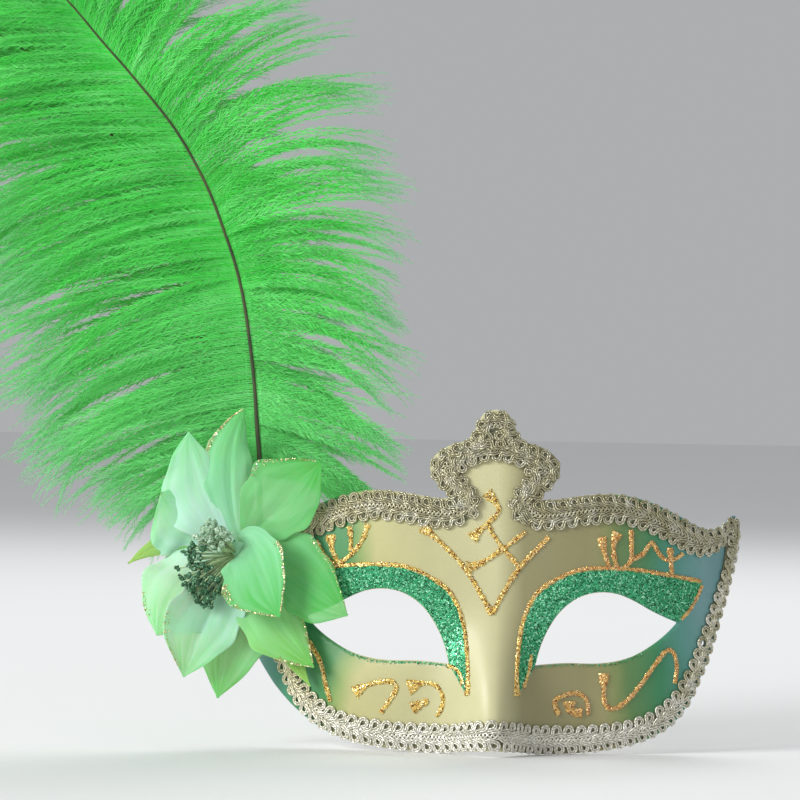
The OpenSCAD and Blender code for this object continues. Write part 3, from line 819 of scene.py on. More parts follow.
def clamped(edge, other, most):
    """The other edge brought in where the braid would be wider than it is made."""
    wide = np.linalg.norm(on_face(edge) - on_face(other), axis=1)
    return edge + (other - edge) * np.minimum(1, most / wide)[:, None]


def both_halves(path, top):
    """A line of points of the right half joined to its mirror image, from one end to the other."""
    if top:
        return np.vstack([flip(path)[:0:-1], path])
    return np.vstack([path, flip(path)[-2::-1]])


def paired(rim, inner, pairs):
    """Lengths of the rim's and the inner edge's curves that lie across from each other."""
    rim, inner = spline(rim, 4), spline(inner, 4)
    return [(rim[4 * a:4 * b + 1], inner[4 * c:4 * d + 1])
            for (a, c), (b, d) in zip(pairs, pairs[1:])]


def braid_lanes(outer, inner, top):
    """Outer edge, inner edge and lift of each lane of gimp. The crown has a second lane."""
    lanes = [(outer, clamped(outer, inner, WIDEST_BRAID), 0.0)]
    if top:
        wide = np.linalg.norm(outer - inner, axis=1)
        fold = np.nonzero(wide > WIDEST_BRAID + FOLD_SLACK)[0]
        part = slice(fold[0], fold[-1] + 1)
        lanes.append((clamped(inner, outer, FOLD_BRAID)[part], inner[part], FOLD_LIFT))
    return lanes


def braid_cords(name, lanes, rng):
    """The looped and plaited cords of one length of braid."""
    tubes = [strand for a, b, lift in lanes for edge, other in ((a, b), (b, a))
             for flat, height in edge_loops(edge, other, lift, rng)
             for strand in strands(flat, height)]
    tubes += [cord for a, b, _ in lanes for cord in plait(a, b)]
    uv = np.vstack([square_uv(k, len(verts) // CORD_SIDES) for k, (verts, _) in enumerate(tubes)])
    solid(name + "_cords", *merged(tubes), thread, "silver_gimp", replaces=[name], uv=uv)


def braid_ground(name, outer, inner, top):
    """The woven strip under the cords, with the tie holes left open."""
    inset = GROUND_INSET * unit(inner - outer)
    outline = np.vstack([outer + inset, (inner - inset)[::-1]])
    ties = [] if top else [tie_hole_outline(), flip(tie_hole_outline())]
    strip = layer([outline] + ties, GROUND_STEP, GROUND_THICK)
    # The strip's near-black colour is painted shade between the cords.
    consistent(solid(name + "_ground", *strip, shade_ground, "silver_gimp", smooth=False))


def braid_part(name, spans, top, rng):
    """One length of braid over both halves of the mask."""
    outer = both_halves(np.vstack([resample(rim, SPAN_POINTS) for rim, _ in spans]), top)
    inner = both_halves(np.vstack([resample(edge, SPAN_POINTS) for _, edge in spans]), top)
    braid_cords(name, braid_lanes(outer, inner, top), rng)
    braid_ground(name, outer, inner, top)


def braids():
    rng = np.random.default_rng(seeds["braid"])
    crown = paired(CROWN_RIM, CROWN_INNER, CROWN_PAIRS)
    brow = paired(BROW_RIM, BROW_INNER, [(0, 0), (11, 9)])
    sides = paired(SIDE_RIM, SIDE_INNER, [(0, 0), (16, 12)])
    braid_part("upper_braid", crown + brow, True, rng)
    braid_part("lower_braid", sides, False, rng)


# ---- Glitter ---------------------------------------------------------------------------

GRAIN = 0.24
BAND_THICK = 0.28
# Flakes tried over the band's box and most kept, and stray ones under each eye.
FLAKE_TRIES, MOST_FLAKES = 42000, 12500
STRAY_FLAKES = {-1: 520, 1: 200}


def on_side(path, side):
    """A path of the right side, or its mirror image if side is -1."""
    return path if side > 0 else flip(path)


def stray_flakes(side, rng):
    """Places of stray flakes along the lower rim of one eye hole."""
    rim = resample(spline(EYE_LOWER, 4)[::-1], 200)[:140]
    spots = rim[rng.integers(0, len(rim), STRAY_FLAKES[side])]
    return on_side(spots, side) - np.abs(rng.normal(0, 0.45, (len(spots), 1))) * [0, 1]


def glitter_band(side):
    """Green flakes in a thin layer round the upper side of one eye hole, and a few stray
    flakes under it."""
    rng = np.random.default_rng(seeds["flakes"] + (side > 0))
    outline = on_side(band_outline(), side)
    tries = rng.uniform(outline.min(axis=0), outline.max(axis=0), (FLAKE_TRIES, 2))
    bed = tries[inside(tries, outline)][:MOST_FLAKES]
    stray = stray_flakes(side, rng)
    spots = np.vstack([bed, stray])
    lift = np.concatenate([rng.uniform(0.26, 0.42, len(bed)), np.full(len(stray), 0.06)])
    grains = scatter_grains(on_face(spots, lift), face_normal(*spots.T), GRAIN, rng, squash=0.6)
    word = "left" if side < 0 else "right"
    grainy("green_glitter_" + word, [layer([outline], SHEET_STEP, BAND_THICK)], grains,
           green_flakes, "green_glitter", ["glitter_band_" + word])


# Width and height of a line, and how far a swelling reaches.
LINE_W, LINE_H, SWELL_LEN = 1.75, 0.85, 3
BEAD_STEP, BEAD_SIDES = 0.4, 8
GRAIN_AREA = 0.04
# Each line: how much its start and its end swell, and its points.
EYE_LINE = [[0.8, 0, BAND_OUTER], [0, 0, BAND_TIP]]
EYE_CORNER_RIGHT = [0.1, 0.2, [[12.6, -3.6], [11.8, -8.6], [10, -14]]]
EYE_CORNER_LEFT = [0.1, 0.2, [[-14.4, -7.5], [-12.2, -8.2], [-10.4, -10], [-9.3, -13.4]]]
FOREHEAD = [[1.4, 0.4, [[-23.3, 37.4], [-16, 31.2], [-9.2, 24], [-4.4, 16.4], [-0.3, 9.6]]],
            [0.3, 0, [[-0.3, 9.6], [3.6, 17], [8.5, 24.8], [15.2, 32], [17.8, 34.8]]],
            [1.3, 1.2, [[-2.6, 49], [1.4, 43.6], [-2.4, 38.8], [-4.8, 36.6], [-7.2, 33.9]]],
            [0, 0, [[-2.4, 38.8], [0.2, 34.6], [3, 30.8], [8.5, 24.8]]],
            [1.4, 0, [[-8.4, 24.4], [-3, 26.6], [3, 30.8], [10.2, 36.4]]]]
TEMPLE_RIGHT = [[1.5, 0, [[35.2, 35], [36.2, 30], [37.8, 25.4]]],
                [1.2, 0, [[40.5, 36.4], [39.4, 33.4], [39.3, 29.4], [40.4, 25.4]]],
                [0.3, 0, [[45, 37.4], [45.2, 31.4], [45.2, 27.6], [43, 25.2]]],
                [0, 0, [[45.2, 27.6], [49.2, 29.7], [51.8, 33.2], [54.5, 29.7], [57, 27.6],
                        [60.5, 28.2], [62.6, 29.6]]],
                [0.8, 0, [[58.2, 31.6], [58.4, 28.4], [59, 23]]]]
TEMPLE_LEFT = [[0.9, 0, [[-58.7, 31.4], [-55.8, 27.4], [-52, 24.4]]],
               [1.2, 0, [[-53.5, 34], [-52.8, 29], [-50.6, 24.6]]],
               [0.4, 0, [[-47.3, 37], [-46.8, 33.4], [-46.8, 29]]],
               [0.2, 0, [[-41.2, 38], [-43, 32.6], [-46.4, 28], [-50.4, 24.8]]]]
CHEEK_RIGHT = [[0.3, 0, [[22, -23], [20.8, -18.4], [27, -16], [31, -18], [31.8, -23]]],
               [1.6, 0.9, [[25.6, -18.6], [26, -21.8], [29.6, -22.4]]],
               [1.4, 0, [[36.8, -9.6], [36.8, -14.6], [37.2, -19.4], [39.8, -21.2], [44, -19],
                         [48.9, -13.6], [53.8, -6.8], [57.8, -2.2], [60.2, -3.4], [61.2, -8],
                         [60.6, -13]]]]
CHEEK_LEFT = [[1.6, 0, [[-44.7, -17.4], [-41, -15], [-36.7, -13.6], [-32.8, -13.4], [-31, -15.4],
                        [-33.2, -19.6], [-36, -23.6]]],
              [2, 0, [[-27, -15], [-21.8, -13.4], [-17.8, -14.4], [-15.8, -18], [-16.2, -21.4],
                      [-17.8, -24.2]]],
              [1.5, 0, [[-25.8, -21.8], [-20.6, -19.2]]],
              [0.6, 0, [[-61, -1.2], [-58, -4.6], [-55.8, -9], [-54.2, -15.4], [-52.6, -20.6]]]]


def bead_width(run, start, end, rng):
    """Half width of an uneven bead along its run, and how much it swells at its ends."""
    swell = np.maximum(start * np.exp(-(run / SWELL_LEN) ** 2),
                       end * np.exp(-((run[-1] - run) / SWELL_LEN) ** 2))
    half = LINE_W / 2 * (0.85 + swell) * rng.uniform(0.66, 1.34, len(run))
    return np.convolve(np.pad(half, 1, mode="edge"), [0.25, 0.5, 0.25], "valid"), swell


def glue_line(line, rng):
    """A bead of glue along one line, and the grains of glitter on it."""
    start, end, path = line
    fine = spline(path, 12)
    flat = resample(fine, max(6, int(runs(fine)[-1] / BEAD_STEP)))
    run = runs(flat)
    half, swell = bead_width(run, start, end, rng)
    height = LINE_H * 0.62 * np.sqrt(half / (LINE_W / 2))
    centre = on_face(flat)
    normal = face_normal(*flat.T)
    side = unit(np.cross(unit(np.gradient(centre, axis=0)), normal))
    verts, faces = tube(centre, side, normal * (height / half)[:, None], half, BEAD_SIDES)
    n = int(run[-1] * LINE_W * (1 + swell.mean()) / GRAIN_AREA)
    at = rng.uniform(0, run[-1], n)
    across = rng.uniform(-1, 1, n)
    up = sample(at, run, normal)
    wide, tall = np.interp(at, run, half), np.interp(at, run, height)
    spots = (sample(at, run, centre) + sample(at, run, side) * (across * wide)[:, None]
             + up * (np.sqrt(1 - across ** 2) * tall)[:, None])
    return (verts, split_quads(faces)), scatter_grains(spots, up, GRAIN, rng, squash=0.9)


def gold(node, lines):
    rng = np.random.default_rng(seeds["gold"] + len(node))
    beads, grains = zip(*[glue_line(line, rng) for line in lines])
    grainy(node + "_grains", beads, merged(grains), gold_flakes, "gold_glitter", [node])


GOLD_LINES = {"eye_line_right": EYE_LINE + [EYE_CORNER_RIGHT],
              "eye_line_left": [[a, b, flip(path)] for a, b, path in EYE_LINE] + [EYE_CORNER_LEFT],
              "forehead_lines": FOREHEAD,
              "temple_lines_right": TEMPLE_RIGHT, "temple_lines_left": TEMPLE_LEFT,
              "cheek_lines_right": CHEEK_RIGHT, "cheek_lines_left": CHEEK_LEFT}


# ---- Flower ----------------------------------------------------------------------------

FLOWER = np.array([-83.8, 21.5, 27.7])
# Name, root, bend and tip from the flower's centre; how far each side reaches and where it
# is widest; cup, ruffle, twist in degrees, fabric.
PETALS = [
    ["petal_1", [0.5, 0, 3], [-7, -1, 30], [1.4, -5, 47.5], 7.5, 0.4, 9, 0.52, 2, 0.5, 8, "mint"],
    ["petal_2", [-2.5, 0, 3], [-15, 0, 20], [-17, -3, 39.4], 9, 0.5, 14, 0.45, 1.5, 0.9, -6, "pale"],
    ["petal_3", [-3.5, 1.5, 1.5], [-15, 3, 11], [-26, 0, 19], 13, 0.6, 16, 0.66, 2, 1.1, 4, "pale"],
    ["petal_4", [-3.5, -0.5, -1.5], [-17, 0, -7], [-26, -8, -27.5], 14, 0.66, 14, 0.76, 3, 1.5, 10, "pale"],
    ["petal_5", [-2, -1.5, -3], [-9, -4, -20], [-17, -9, -41], 14, 0.66, 11, 0.55, -2, 1.4, -12, "pale"],
    ["petal_6", [0, 1, -3], [-2, 1, -24], [-6, -4, -48], 10, 0.6, 14, 0.52, 2, 1.0, 6, "mint"],
    ["petal_7", [2, -1, -3], [9, -5, -18], [25.6, -10.5, -37], 12, 0.62, 9, 0.5, 1, 0.8, -8, "grass"],
    ["petal_8", [3, -0.5, 1.5], [18, -3, -5], [36.4, -15.5, -19.6], 11, 0.75, 13, 0.45, 1, 0.5, 6, "sheer"],
    ["petal_9", [2, 0, 3], [13, -3, 15], [27, -11.5, 30.4], 11, 0.6, 15, 0.62, -1, 0.8, -5, "sheer"],
    ["petal_10", [0.8, -2, 3.2], [5, -11, 8], [14.3, -15, -20.5], 15, 0.82, 8, 0.6, -1, 0.6, 5, "mint"],
    ["leaf_1", [-3.5, 3, 1.5], [-20, 4, 9], [-36.4, 0.5, -4.5], 4, 0.5, 4, 0.5, 1, 0.3, 10, "leaf"],
    ["leaf_2", [2.5, 1.5, -3], [10, 0, -22], [24.5, -6.5, -43.5], 5, 0.5, 5, 0.5, 0.5, 0.4, -6, "leaf"]
]
PETAL_T = 0.3
PETAL_ROWS, PETAL_COLS = 57, 41
PETAL_SEED_STEP = 1.7


def edge_shape(u, widest):
    """Half width of a pointed petal, 1 where it is widest."""
    rise = np.sin(math.pi / 2 * np.clip(u / widest, 0, 1)) ** 0.85
    fall = np.clip((1 - u) / (1 - widest), 0, 1)
    fall = 1 - (1 - fall) ** 1.55
    return np.where(u < widest, rise, fall)


def arc(start, knee, end, t):
    """Points of a curve from start to end that bends towards knee."""
    return start * (1 - t) ** 2 + knee * 2 * t * (1 - t) + end * t ** 2


def petal_frame(petal, u):
    """The middle line of a petal at u, and its directions sideways and up."""
    root, bend, tip = (np.array(p, float) for p in petal[1:4])
    twist = petal[-2]
    w = u[..., None]
    way = unit((bend - root) * (1 - w) + (tip - bend) * w)
    flat_side = unit(np.stack([-way[..., 2], np.zeros_like(u), way[..., 0]], axis=-1))
    flat_up = np.cross(way, flat_side)
    a = np.radians(twist) * np.sin(math.pi / 2 * u)[..., None]
    side = flat_side * np.cos(a) + flat_up * np.sin(a)
    return arc(root, bend, tip, w), side, flat_up * np.cos(a) - flat_side * np.sin(a)


def petal_surface(index, u, v):
    """Points of a petal, u from root to tip and v from -1 to 1 across."""
    seed = seeds["petals"] + PETAL_SEED_STEP * index
    reach_a, wide_a, reach_b, wide_b, cup, ruffle = PETALS[index][4:10]
    u, v = np.broadcast_arrays(np.asarray(u, float), np.asarray(v, float))
    centre, side, up = petal_frame(PETALS[index], u)
    half = np.where(v < 0, reach_a * edge_shape(u, wide_a), reach_b * edge_shape(u, wide_b))
    half = np.maximum(0.3, half) + 0.5 * (1 - u)
    edge = np.abs(v) ** 2
    ends = np.sin(math.pi * u)
    nick = 0.05 * edge * np.sin(u * 23 + np.sign(v) * 2 + seed) * ends
    belly = np.sin(math.pi * np.minimum(u * 1.08, 1)) ** 0.8
    ripple = np.sin(u * 11 + np.sign(v) * 1.1 + seed) + 0.5 * np.sin(u * 24 + 3 * v + seed)
    wave = ruffle * edge * belly * ripple
    fold = 0.3 * np.abs(np.sin(v * 5.5 + 0.9 * np.sin(u * 4 + seed) + seed)) - 0.15
    crease = ruffle * fold * belly * (1 - 0.3 * np.abs(v))
    keel = 1.1 * np.exp(-np.abs(v) / 0.22) * ends * (1 - 0.6 * u)
    lift = wave + crease - keel - cup * v * v * ends
    return FLOWER + centre + side * (v * half * (1 + nick))[..., None] + up * lift[..., None], up


def state_sheet(mid):
    """Works out the widths and the length of a petal from the rows of points of its middle, and does
    nothing with them.
    """
    widths = np.linalg.norm(np.diff(mid, axis=1), axis=2).sum(axis=1)
    length = runs(mid[:, PETAL_COLS // 2])[-1]


def petal_piece(index):
    """One petal or leaf, as a closed sheet."""
    name, cloth = PETALS[index][0], PETALS[index][-1]
    u = np.linspace(0, 1, PETAL_ROWS)[:, None]
    v = np.linspace(-1, 1, PETAL_COLS)[None, :]
    mid, up = petal_surface(index, u, v)
    ring = np.concatenate([mid + up * PETAL_T / 2, (mid - up * PETAL_T / 2)[:, ::-1]], axis=1)
    across = np.concatenate([(v[0] + 1) / 2, (v[0, ::-1] + 1) / 2])
    uv = np.stack(np.broadcast_arrays(across[None], u), axis=-1).reshape(-1, 2)
    span = 2 * PETAL_COLS
    caps = [[j, j + 1, span - 2 - j, span - 1 - j] for j in range(PETAL_COLS - 1)]
    last = (PETAL_ROWS - 1) * span
    caps += [[last + a for a in cap[::-1]] for cap in caps]
    faces = np.vstack([grid_faces(PETAL_ROWS, span, wrap=True), caps])
    slot = "leaf_organza" if cloth == "leaf" else "petal_organza"
    obj = solid(name + "_sheet", ring.reshape(-1, 3), faces, ORGANZA[cloth], slot,
                replaces=[name], uv=uv)
    state_sheet(mid)


# Petal, side of the petal, start and end along it, and how thick the glitter lies.
GLITTER_EDGES = [[0, 1, 0.55, 0.99, 1.0], [6, 1, 0.6, 0.97, 0.5], [6, -1, 0.8, 0.99, 0.7],
                 [7, 1, 0.45, 0.95, 0.25], [8, 1, 0.5, 0.98, 0.4], [9, 1, 0.5, 0.98, 1.0],
                 [9, -1, 0.66, 0.99, 1.0], [3, -1, 0.75, 0.9, 0.3], [4, -1, 0.6, 0.95, 0.3]]


EDGE_FLAKES, EDGE_GRAIN = 520, 0.34


def petal_gold():
    """Grains of pale gold glitter along some of the petals' edges."""
    rng = np.random.default_rng(seeds["petals"])
    spots, normals = [], []
    for index, side, start, end, thick in GLITTER_EDGES:
        n = int(EDGE_FLAKES * thick * (end - start))
        u = rng.uniform(start, end, n)
        v = side * (1 - np.abs(rng.normal(0, 0.07, n)))
        mid, up = petal_surface(index, u, v)
        spots.append(mid + up * PETAL_T)
        normals.append(up)
    grains = scatter_grains(np.vstack(spots), np.vstack(normals), EDGE_GRAIN, rng, squash=0.8)
    solid("petal_glitter_grains", *grains, petal_flakes, "petal_gold", replaces=["petal_glitter"],
          uv=grains_uv(grains), smooth=False)


HUB_STAND = 4
STAMEN_ROOT = FLOWER + [-0.5, -HUB_STAND, -0.5]
STEM_R, STEM_POINTS = 0.21, 9
BUDS_PER_HEAD = 3
# Material of the heads, first and last angle, nearest and furthest reach, number of stems.
STAMEN_TUFTS = [["pale", 116, 166, 6, 15.5, 50], ["dark", 168, 190, 12, 17, 10],
                ["dark", 194, 248, 10.5, 20, 56]]
BUD_ROWS, BUD_COLS = 8, 10


def bud():
    """Points over a small sphere, and its faces."""
    top = math.pi / 2 - 0.02
    lat = np.linspace(-top, top, BUD_ROWS)[:, None]
    lon = (np.arange(BUD_COLS) * 2 * math.pi / BUD_COLS)[None, :]
    p = np.broadcast_arrays(np.cos(lat) * np.cos(lon), np.cos(lat) * np.sin(lon), np.sin(lat))
    return np.stack(p, axis=-1).reshape(-1, 3), grid_faces(BUD_ROWS, BUD_COLS, wrap=True)


def stem_path(angle, reach, rng):
    """One stem, from the flower's middle out to its tip and towards the viewer."""
    way = np.array([math.cos(angle), 0, math.sin(angle)])
    start = STAMEN_ROOT + way * rng.uniform(0.5, 2.0) + [0, 0.4, 0]
    forward = -2 - 7 * rng.uniform(0, 1) * (1.25 - reach / 22)
    tip = STAMEN_ROOT + way * reach + [0, forward, 0]
    knee = (start + tip) / 2 + [0, -1.6, 0] + rng.uniform(-0.7, 0.7, 3)
    return arc(start, knee, tip, np.linspace(0, 1, STEM_POINTS)[:, None])


def head(tip, ball, rng):
    """The rough buds that make up one head, on the tip of its stem."""
    points, faces = ball
    turn = np.linalg.qr(rng.normal(size=(3, 3)))[0]
    for _ in range(BUDS_PER_HEAD):
        rough = 1 + 0.2 * rng.normal(size=(len(points), 1))
        size = rng.uniform(0.5, 0.85)
        spot = tip + rng.normal(0, 0.5, 3)
        yield (points * rough * [size, size, size * 1.4]) @ turn + spot, faces


def stamens():
    """Wired stems with glitter-dipped heads, in tufts that fan to one side of the flower."""
    rng = np.random.default_rng(seeds["stamens"])
    ball = bud()
    stems, heads = [], {"pale": [], "dark": []}
    for tone, first, last, near, far, count in STAMEN_TUFTS:
        for k in range(count):
            angle = math.radians(mix(first, last, (k + rng.uniform(0, 1)) / count))
            reach = rng.uniform(near, far) * (0.9 + 0.1 * math.cos(angle - math.radians(225)))
            path = stem_path(angle, reach, rng)
            stems.append(guided_tube(path, FREE_GUIDE, STEM_R))
            heads[tone] += head(path[-1], ball, rng)
    solid("stamen_stem_wires", *merged(stems), stem_green, "stamen_stem", replaces=["stamen_stems"])
    across = np.stack(np.meshgrid(np.linspace(0, 1, BUD_ROWS), np.linspace(0, 1, BUD_COLS),
                                  indexing="ij"), axis=-1).reshape(-1, 2)
    for tone, buds in heads.items():
        solid("stamen_heads_" + tone, *merged(buds), HEADS[tone], "stamen_head",
              replaces=["stamen_heads"], uv=cell_uv(len(buds), across), smooth=False)


# ---- Plumes ----------------------------------------------------------------------------

FRONT_LINE = [[-77.2, 28.5, 34], [-77.6, 29, 56], [-78.6, 29.5, 68], [-80.2, 30, 86],
              [-83.2, 30.5, 107], [-86.4, 30.5, 121], [-90.9, 30, 134], [-97, 29, 149],
              [-107.5, 27.5, 167], [-121.6, 25.5, 184], [-132, 24, 195.5], [-142.4, 22.5, 207.4],
              [-155, 20.5, 219.5], [-167, 17.5, 228.5], [-181, 13.5, 236]]
BACK_LINE = [[-80.8, 33.5, 33], [-84, 35, 58], [-91, 37, 82], [-98.8, 38, 100],
             [-110.8, 38.5, 127.6], [-117, 38, 142], [-125.4, 37.5, 159.5], [-136, 36.5, 174],
             [-150, 34.5, 187], [-166, 32.5, 197], [-183, 30.5, 203]]
# Barbs by place along the quill: length, first heading and turn over the length.
FRONT_LEFT = [[0, 52, 190, 34], [0.1, 78, 187, 36], [0.25, 90, 184, 34], [0.45, 90, 181, 30],
              [0.7, 78, 175, 30], [0.9, 56, 166, 30], [1, 40, 158, 24]]
FRONT_RIGHT = [[0, 50, -16, -30], [0.12, 56, -6, -38], [0.28, 61, 14, -46], [0.42, 68, 44, -62],
               [0.6, 72, 70, -62], [0.8, 62, 88, -56], [1, 42, 112, -36]]
BACK_LEFT = [[0, 48, 194, 34], [0.1, 72, 190, 38], [0.25, 82, 186, 36], [0.45, 84, 182, 34],
             [0.7, 70, 176, 32], [0.9, 50, 171, 28], [1, 36, 169, 24]]
BACK_RIGHT = [[0, 42, -2, -24], [0.2, 52, 12, -36], [0.45, 60, 44, -56], [0.7, 60, 76, -56],
              [0.9, 46, 94, -46], [1, 34, 110, -30]]
QUILLS = {"front": FRONT_LINE, "back": BACK_LINE}
BARB_COUNT = {"front": 520, "back": 430}
# Plume, side, barbs, and how far their tips lie behind or before the quill.
VANES = [["front", "left", FRONT_LEFT, -2.5], ["front", "right", FRONT_RIGHT, -1.5],
         ["back", "left", BACK_LEFT, 1.0], ["back", "right", BACK_RIGHT, 0.5]]
BARE_QUILL = 0.08
# Distance that keeps the shaft clear of its stub, and its radii at places along it.
QUILL_START = 0.35
QUILL_PLACES, QUILL_R, QUILL_SIDES = [0, 0.2, 1], [1.1, 0.62, 0.28], 10
BARB_ROWS = 26
CLUMP_CHANCE = 0.16
BARBULE_PITCH = 0.62
TO_VIEWER = np.array([0, -1.0, 0])


def barb_paths(line, table, count, droop, rng):
    """Place of each barb along the quill, its path, and the barbs' mean length. Barbs
    gather in clumps, which share their length, heading, curl and depth."""
    fine = spline(line, 24)
    place = np.clip((np.arange(count) + rng.uniform(-0.3, 0.3, count)) / count, 0, 1)
    clump = np.cumsum(rng.uniform(size=count) < CLUMP_CHANCE)
    clumps = clump[-1] + 1
    middle = np.array([place[clump == c].mean() for c in range(clumps)])[clump][:, None]

    def varied(by_clump, by_barb):
        return (rng.normal(0, by_clump, clumps)[clump] + rng.normal(0, by_barb, count))[:, None]

    longer = rng.uniform(0.84, 1.05, clumps)[clump] * rng.uniform(0.9, 1.02, count)
    swing = varied(4, 1.6)
    curl = varied(9, 4)
    wave = varied(1.7, 0.7)
    pull = rng.uniform(0.45, 0.95, clumps)[clump][:, None]

    s = np.linspace(0, 1, BARB_ROWS)
    u = mix(place[:, None], middle, s ** 1.6 * pull)
    places, *columns = np.transpose(table)
    length, heading, turn = (np.interp(u, places, column) for column in columns)
    length = length * longer[:, None]
    turned = np.radians(turn + curl) * np.maximum(s, 0.001)
    turned = np.where(np.abs(turned) < 1e-4, 1e-4, turned)
    reach = length * s * np.sin(turned / 2) / (turned / 2)
    way = np.radians(heading + swing * s) + turned / 2
    shift = wave * np.sin(s * 2.6) + droop * s ** 2
    root = sample(BARE_QUILL + (1 - BARE_QUILL) * u, np.linspace(0, 1, len(fine)), fine)
    path = root + np.stack([reach * np.cos(way), shift, reach * np.sin(way)], axis=-1)
    return place, path, np.mean(length[:, -1])


def ribs(place, path, side):
    """A thin three-sided rib along each barb: points, faces and UVs."""
    count = len(place)
    s = np.linspace(0, 1, BARB_ROWS)
    half = np.interp(s, [0, 0.1, 0.8, 1], [0.22, 0.2, 0.1, 0.03])[None, :, None]
    verts = np.stack([path - side * half, path + TO_VIEWER * half, path + side * half], axis=2)
    firsts = np.arange(count)[:, None] * BARB_ROWS * 3 + np.arange(BARB_ROWS - 1) * 3
    quads = firsts[..., None, None] + [[0, 1, 4, 3], [1, 2, 5, 4], [2, 0, 3, 5]]
    uv = np.stack(np.broadcast_arrays(place[:, None, None] + np.array([-1, 0, 1]) * 0.0006,
                                      s[None, :, None]), axis=-1)
    return verts.reshape(-1, 3), split_quads(quads.reshape(-1, 4)), uv.reshape(-1, 2)


def barbules(place, path, along, side, mean_length, rng):
    """Short pointed barbules that fringe each barb: points, faces and UVs."""
    count = len(place)
    per = int(mean_length / BARBULE_PITCH)
    each = (count, per, 1)
    at = (np.arange(per) + 0.5)[None, :] / per + rng.uniform(-0.4, 0.4, (count, per)) / per
    at = np.clip(at, 0.02, 0.995)
    pos = at * (BARB_ROWS - 1)
    i = np.clip(pos.astype(int), 0, BARB_ROWS - 2)
    w = (pos - i)[..., None]
    barb = np.arange(count)[:, None]

    def at_barb(values):
        return values[barb, i] * (1 - w) + values[barb, i + 1] * w

    base = at_barb(path)
    sign = np.where(rng.uniform(size=each) < 0.5, -1.0, 1.0)
    size = np.interp(at, [0, 0.12, 0.75, 1], [1.4, 3.4, 3.2, 1.3])[..., None]
    size = size * rng.uniform(0.7, 1.15, each)
    splay = rng.uniform(0.28, 0.75, each)
    depth = rng.normal(0, 0.3, each)
    direction = unit(at_barb(along) + at_barb(side) * sign * splay + TO_VIEWER * depth)
    wide = np.interp(at, [0, 0.5, 1], [0.19, 0.15, 0.07])[..., None]
    wide = unit(np.cross(direction, TO_VIEWER)) * wide
    verts = np.stack([base - wide, base + wide, base + direction * size], axis=2).reshape(-1, 3)
    own = np.broadcast_to(place[:, None], at.shape)
    beside = own + 0.0008 * sign[..., 0]
    uv = np.stack([own, at, beside, at, beside, np.clip(at + 0.03, 0, 1)], axis=-1)
    return verts, np.arange(len(verts)).reshape(-1, 3), uv.reshape(-1, 2)


def vane(plume, side_name, table, droop, rng):
    """The barbs of one side of a plume, each fringed with barbules."""
    place, path, mean_length = barb_paths(QUILLS[plume], table, BARB_COUNT[plume], droop, rng)
    along = unit(np.gradient(path, axis=1))
    side = unit(np.cross(along, TO_VIEWER))
    *rib, rib_uv = ribs(place, path, side)
    *fringe, fringe_uv = barbules(place, path, along, side, mean_length, rng)
    solid(plume + "_plume_" + side_name, *merged([rib, fringe]), BARB_GREEN[plume],
          "plume_green", body=plume + "_plume", replaces=[plume + "_barbs_" + side_name],
          uv=np.clip(np.vstack([rib_uv, fringe_uv]), 0, 1))


def quill(plume):
    """The thin bare shaft that shows between the barbs, tapering to the tip."""
    path = spline(QUILLS[plume], 10)
    path[0] += QUILL_START * unit(path[1] - path[0])
    radii = np.interp(runs(path) / runs(path)[-1], QUILL_PLACES, QUILL_R)
    solid(plume + "_quill_shaft", *guided_tube(path, FREE_GUIDE, radii, QUILL_SIDES),
          keratin_brown, "quill", body=plume + "_plume", replaces=[plume + "_quill"])


def plumes():
    for plume in QUILLS:
        quill(plume)
    for k, (plume, side_name, table, droop) in enumerate(VANES, 1):
        vane(plume, side_name, table, droop, np.random.default_rng(seeds["barbs"] + k))


def paint_cad():
    """Materials for the CAD nodes that stay."""
    kept = {"glue_pad": glue, "flower_base": felt, "quill_stubs": keratin_brown}
    for node, look in kept.items():
        mesh = frame["nodes"][node].data
        mesh.materials.clear()
        mesh.materials.append(look)


shell_skin()
braids()
glitter_band(-1)
glitter_band(1)
for node, lines in GOLD_LINES.items():
    gold(node, lines)
for index in range(len(PETALS)):
    petal_piece(index)
petal_gold()
stamens()
plumes()
paint_cad()


# ---- Camera, light and floor -----------------------------------------------------------

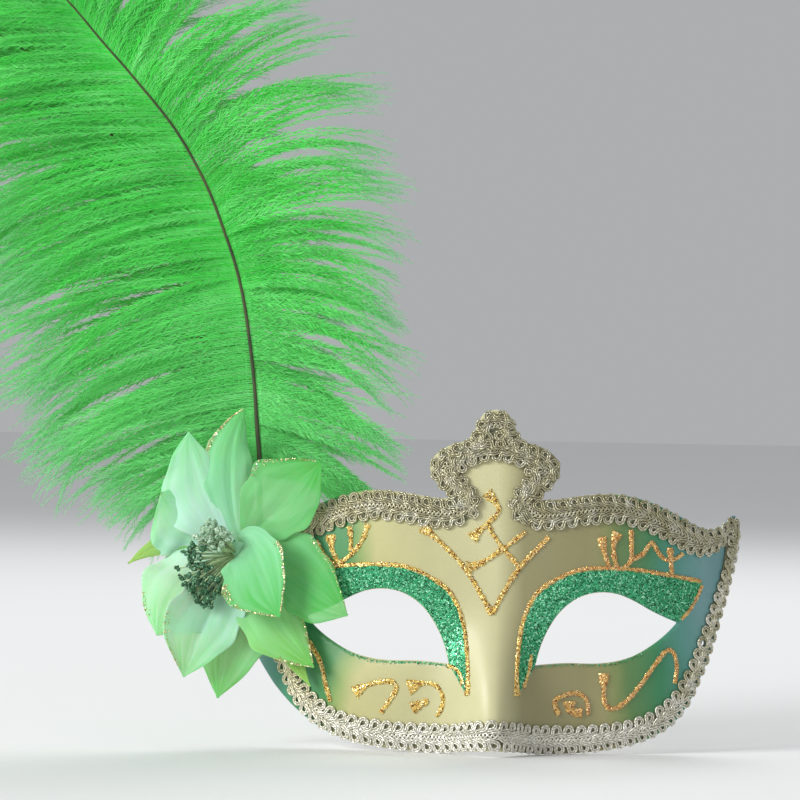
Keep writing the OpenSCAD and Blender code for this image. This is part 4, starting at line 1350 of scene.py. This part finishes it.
# What the camera looks at, its distance, the width it sees there and its roll in degrees.
AIM = Vector((-0.0315, 0.012, 0.0787))
DISTANCE, SEEN_WIDTH, SENSOR, ROLL = 1.5, 0.262, 36, -1
FLOOR_REACH, FLOOR_DROP = 12.0, 0.0005
# Lamps: name, place, width and power in watts.
LAMPS = [("key", (-1.9, -1.3, 1.05), 1.1, 51), ("fill", (0.5, -1.2, 0.05), 0.5, 1.6),
         ("back", (0.2, 1.5, 1.6), 1.2, 15)]


def photo_camera(scene):
    data = bpy.data.cameras.new("photo_camera")
    data.sensor_width = SENSOR
    data.lens = SENSOR * DISTANCE / SEEN_WIDTH
    data.clip_end = 20
    camera = bpy.data.objects.new("photo_camera", data)
    camera.location = AIM - Vector((0, DISTANCE, 0))
    camera.rotation_euler = (math.radians(90), math.radians(ROLL), 0)
    scene.collection.objects.link(camera)
    scene.camera = camera


def pale_floor(scene):
    mesh = bpy.data.meshes.new("floor")
    low = cad_box[0][2] - FLOOR_DROP
    corners = [(-1, -1), (1, -1), (1, 1), (-1, 1)]
    mesh.from_pydata([(x * FLOOR_REACH, y * FLOOR_REACH, low) for x, y in corners],
                     [], [(0, 1, 2, 3)])
    floor = bpy.data.objects.new("floor", mesh)
    mesh.materials.append(material("pale_floor", (0.90, 0.90, 0.90), 0.8))
    scene.collection.objects.link(floor)


def lights(scene):
    world = bpy.data.worlds.new("studio")
    scene.world = world
    world.use_nodes = True
    sky = world.node_tree.nodes["Background"]
    sky.inputs["Color"].default_value = (0.90, 0.92, 0.94, 1)
    sky.inputs["Strength"].default_value = 0.46
    for name, at, width, watts in LAMPS:
        data = bpy.data.lights.new(name, "AREA")
        data.size = width
        data.energy = watts
        lamp = bpy.data.objects.new(name, data)
        lamp.location = at
        lamp.rotation_euler = (AIM - Vector(at)).to_track_quat("-Z", "Y").to_euler()
        scene.collection.objects.link(lamp)


def studio():
    scene = bpy.context.scene
    scene.view_settings.view_transform = "Standard"
    photo_camera(scene)
    pale_floor(scene)
    lights(scene)


studio()
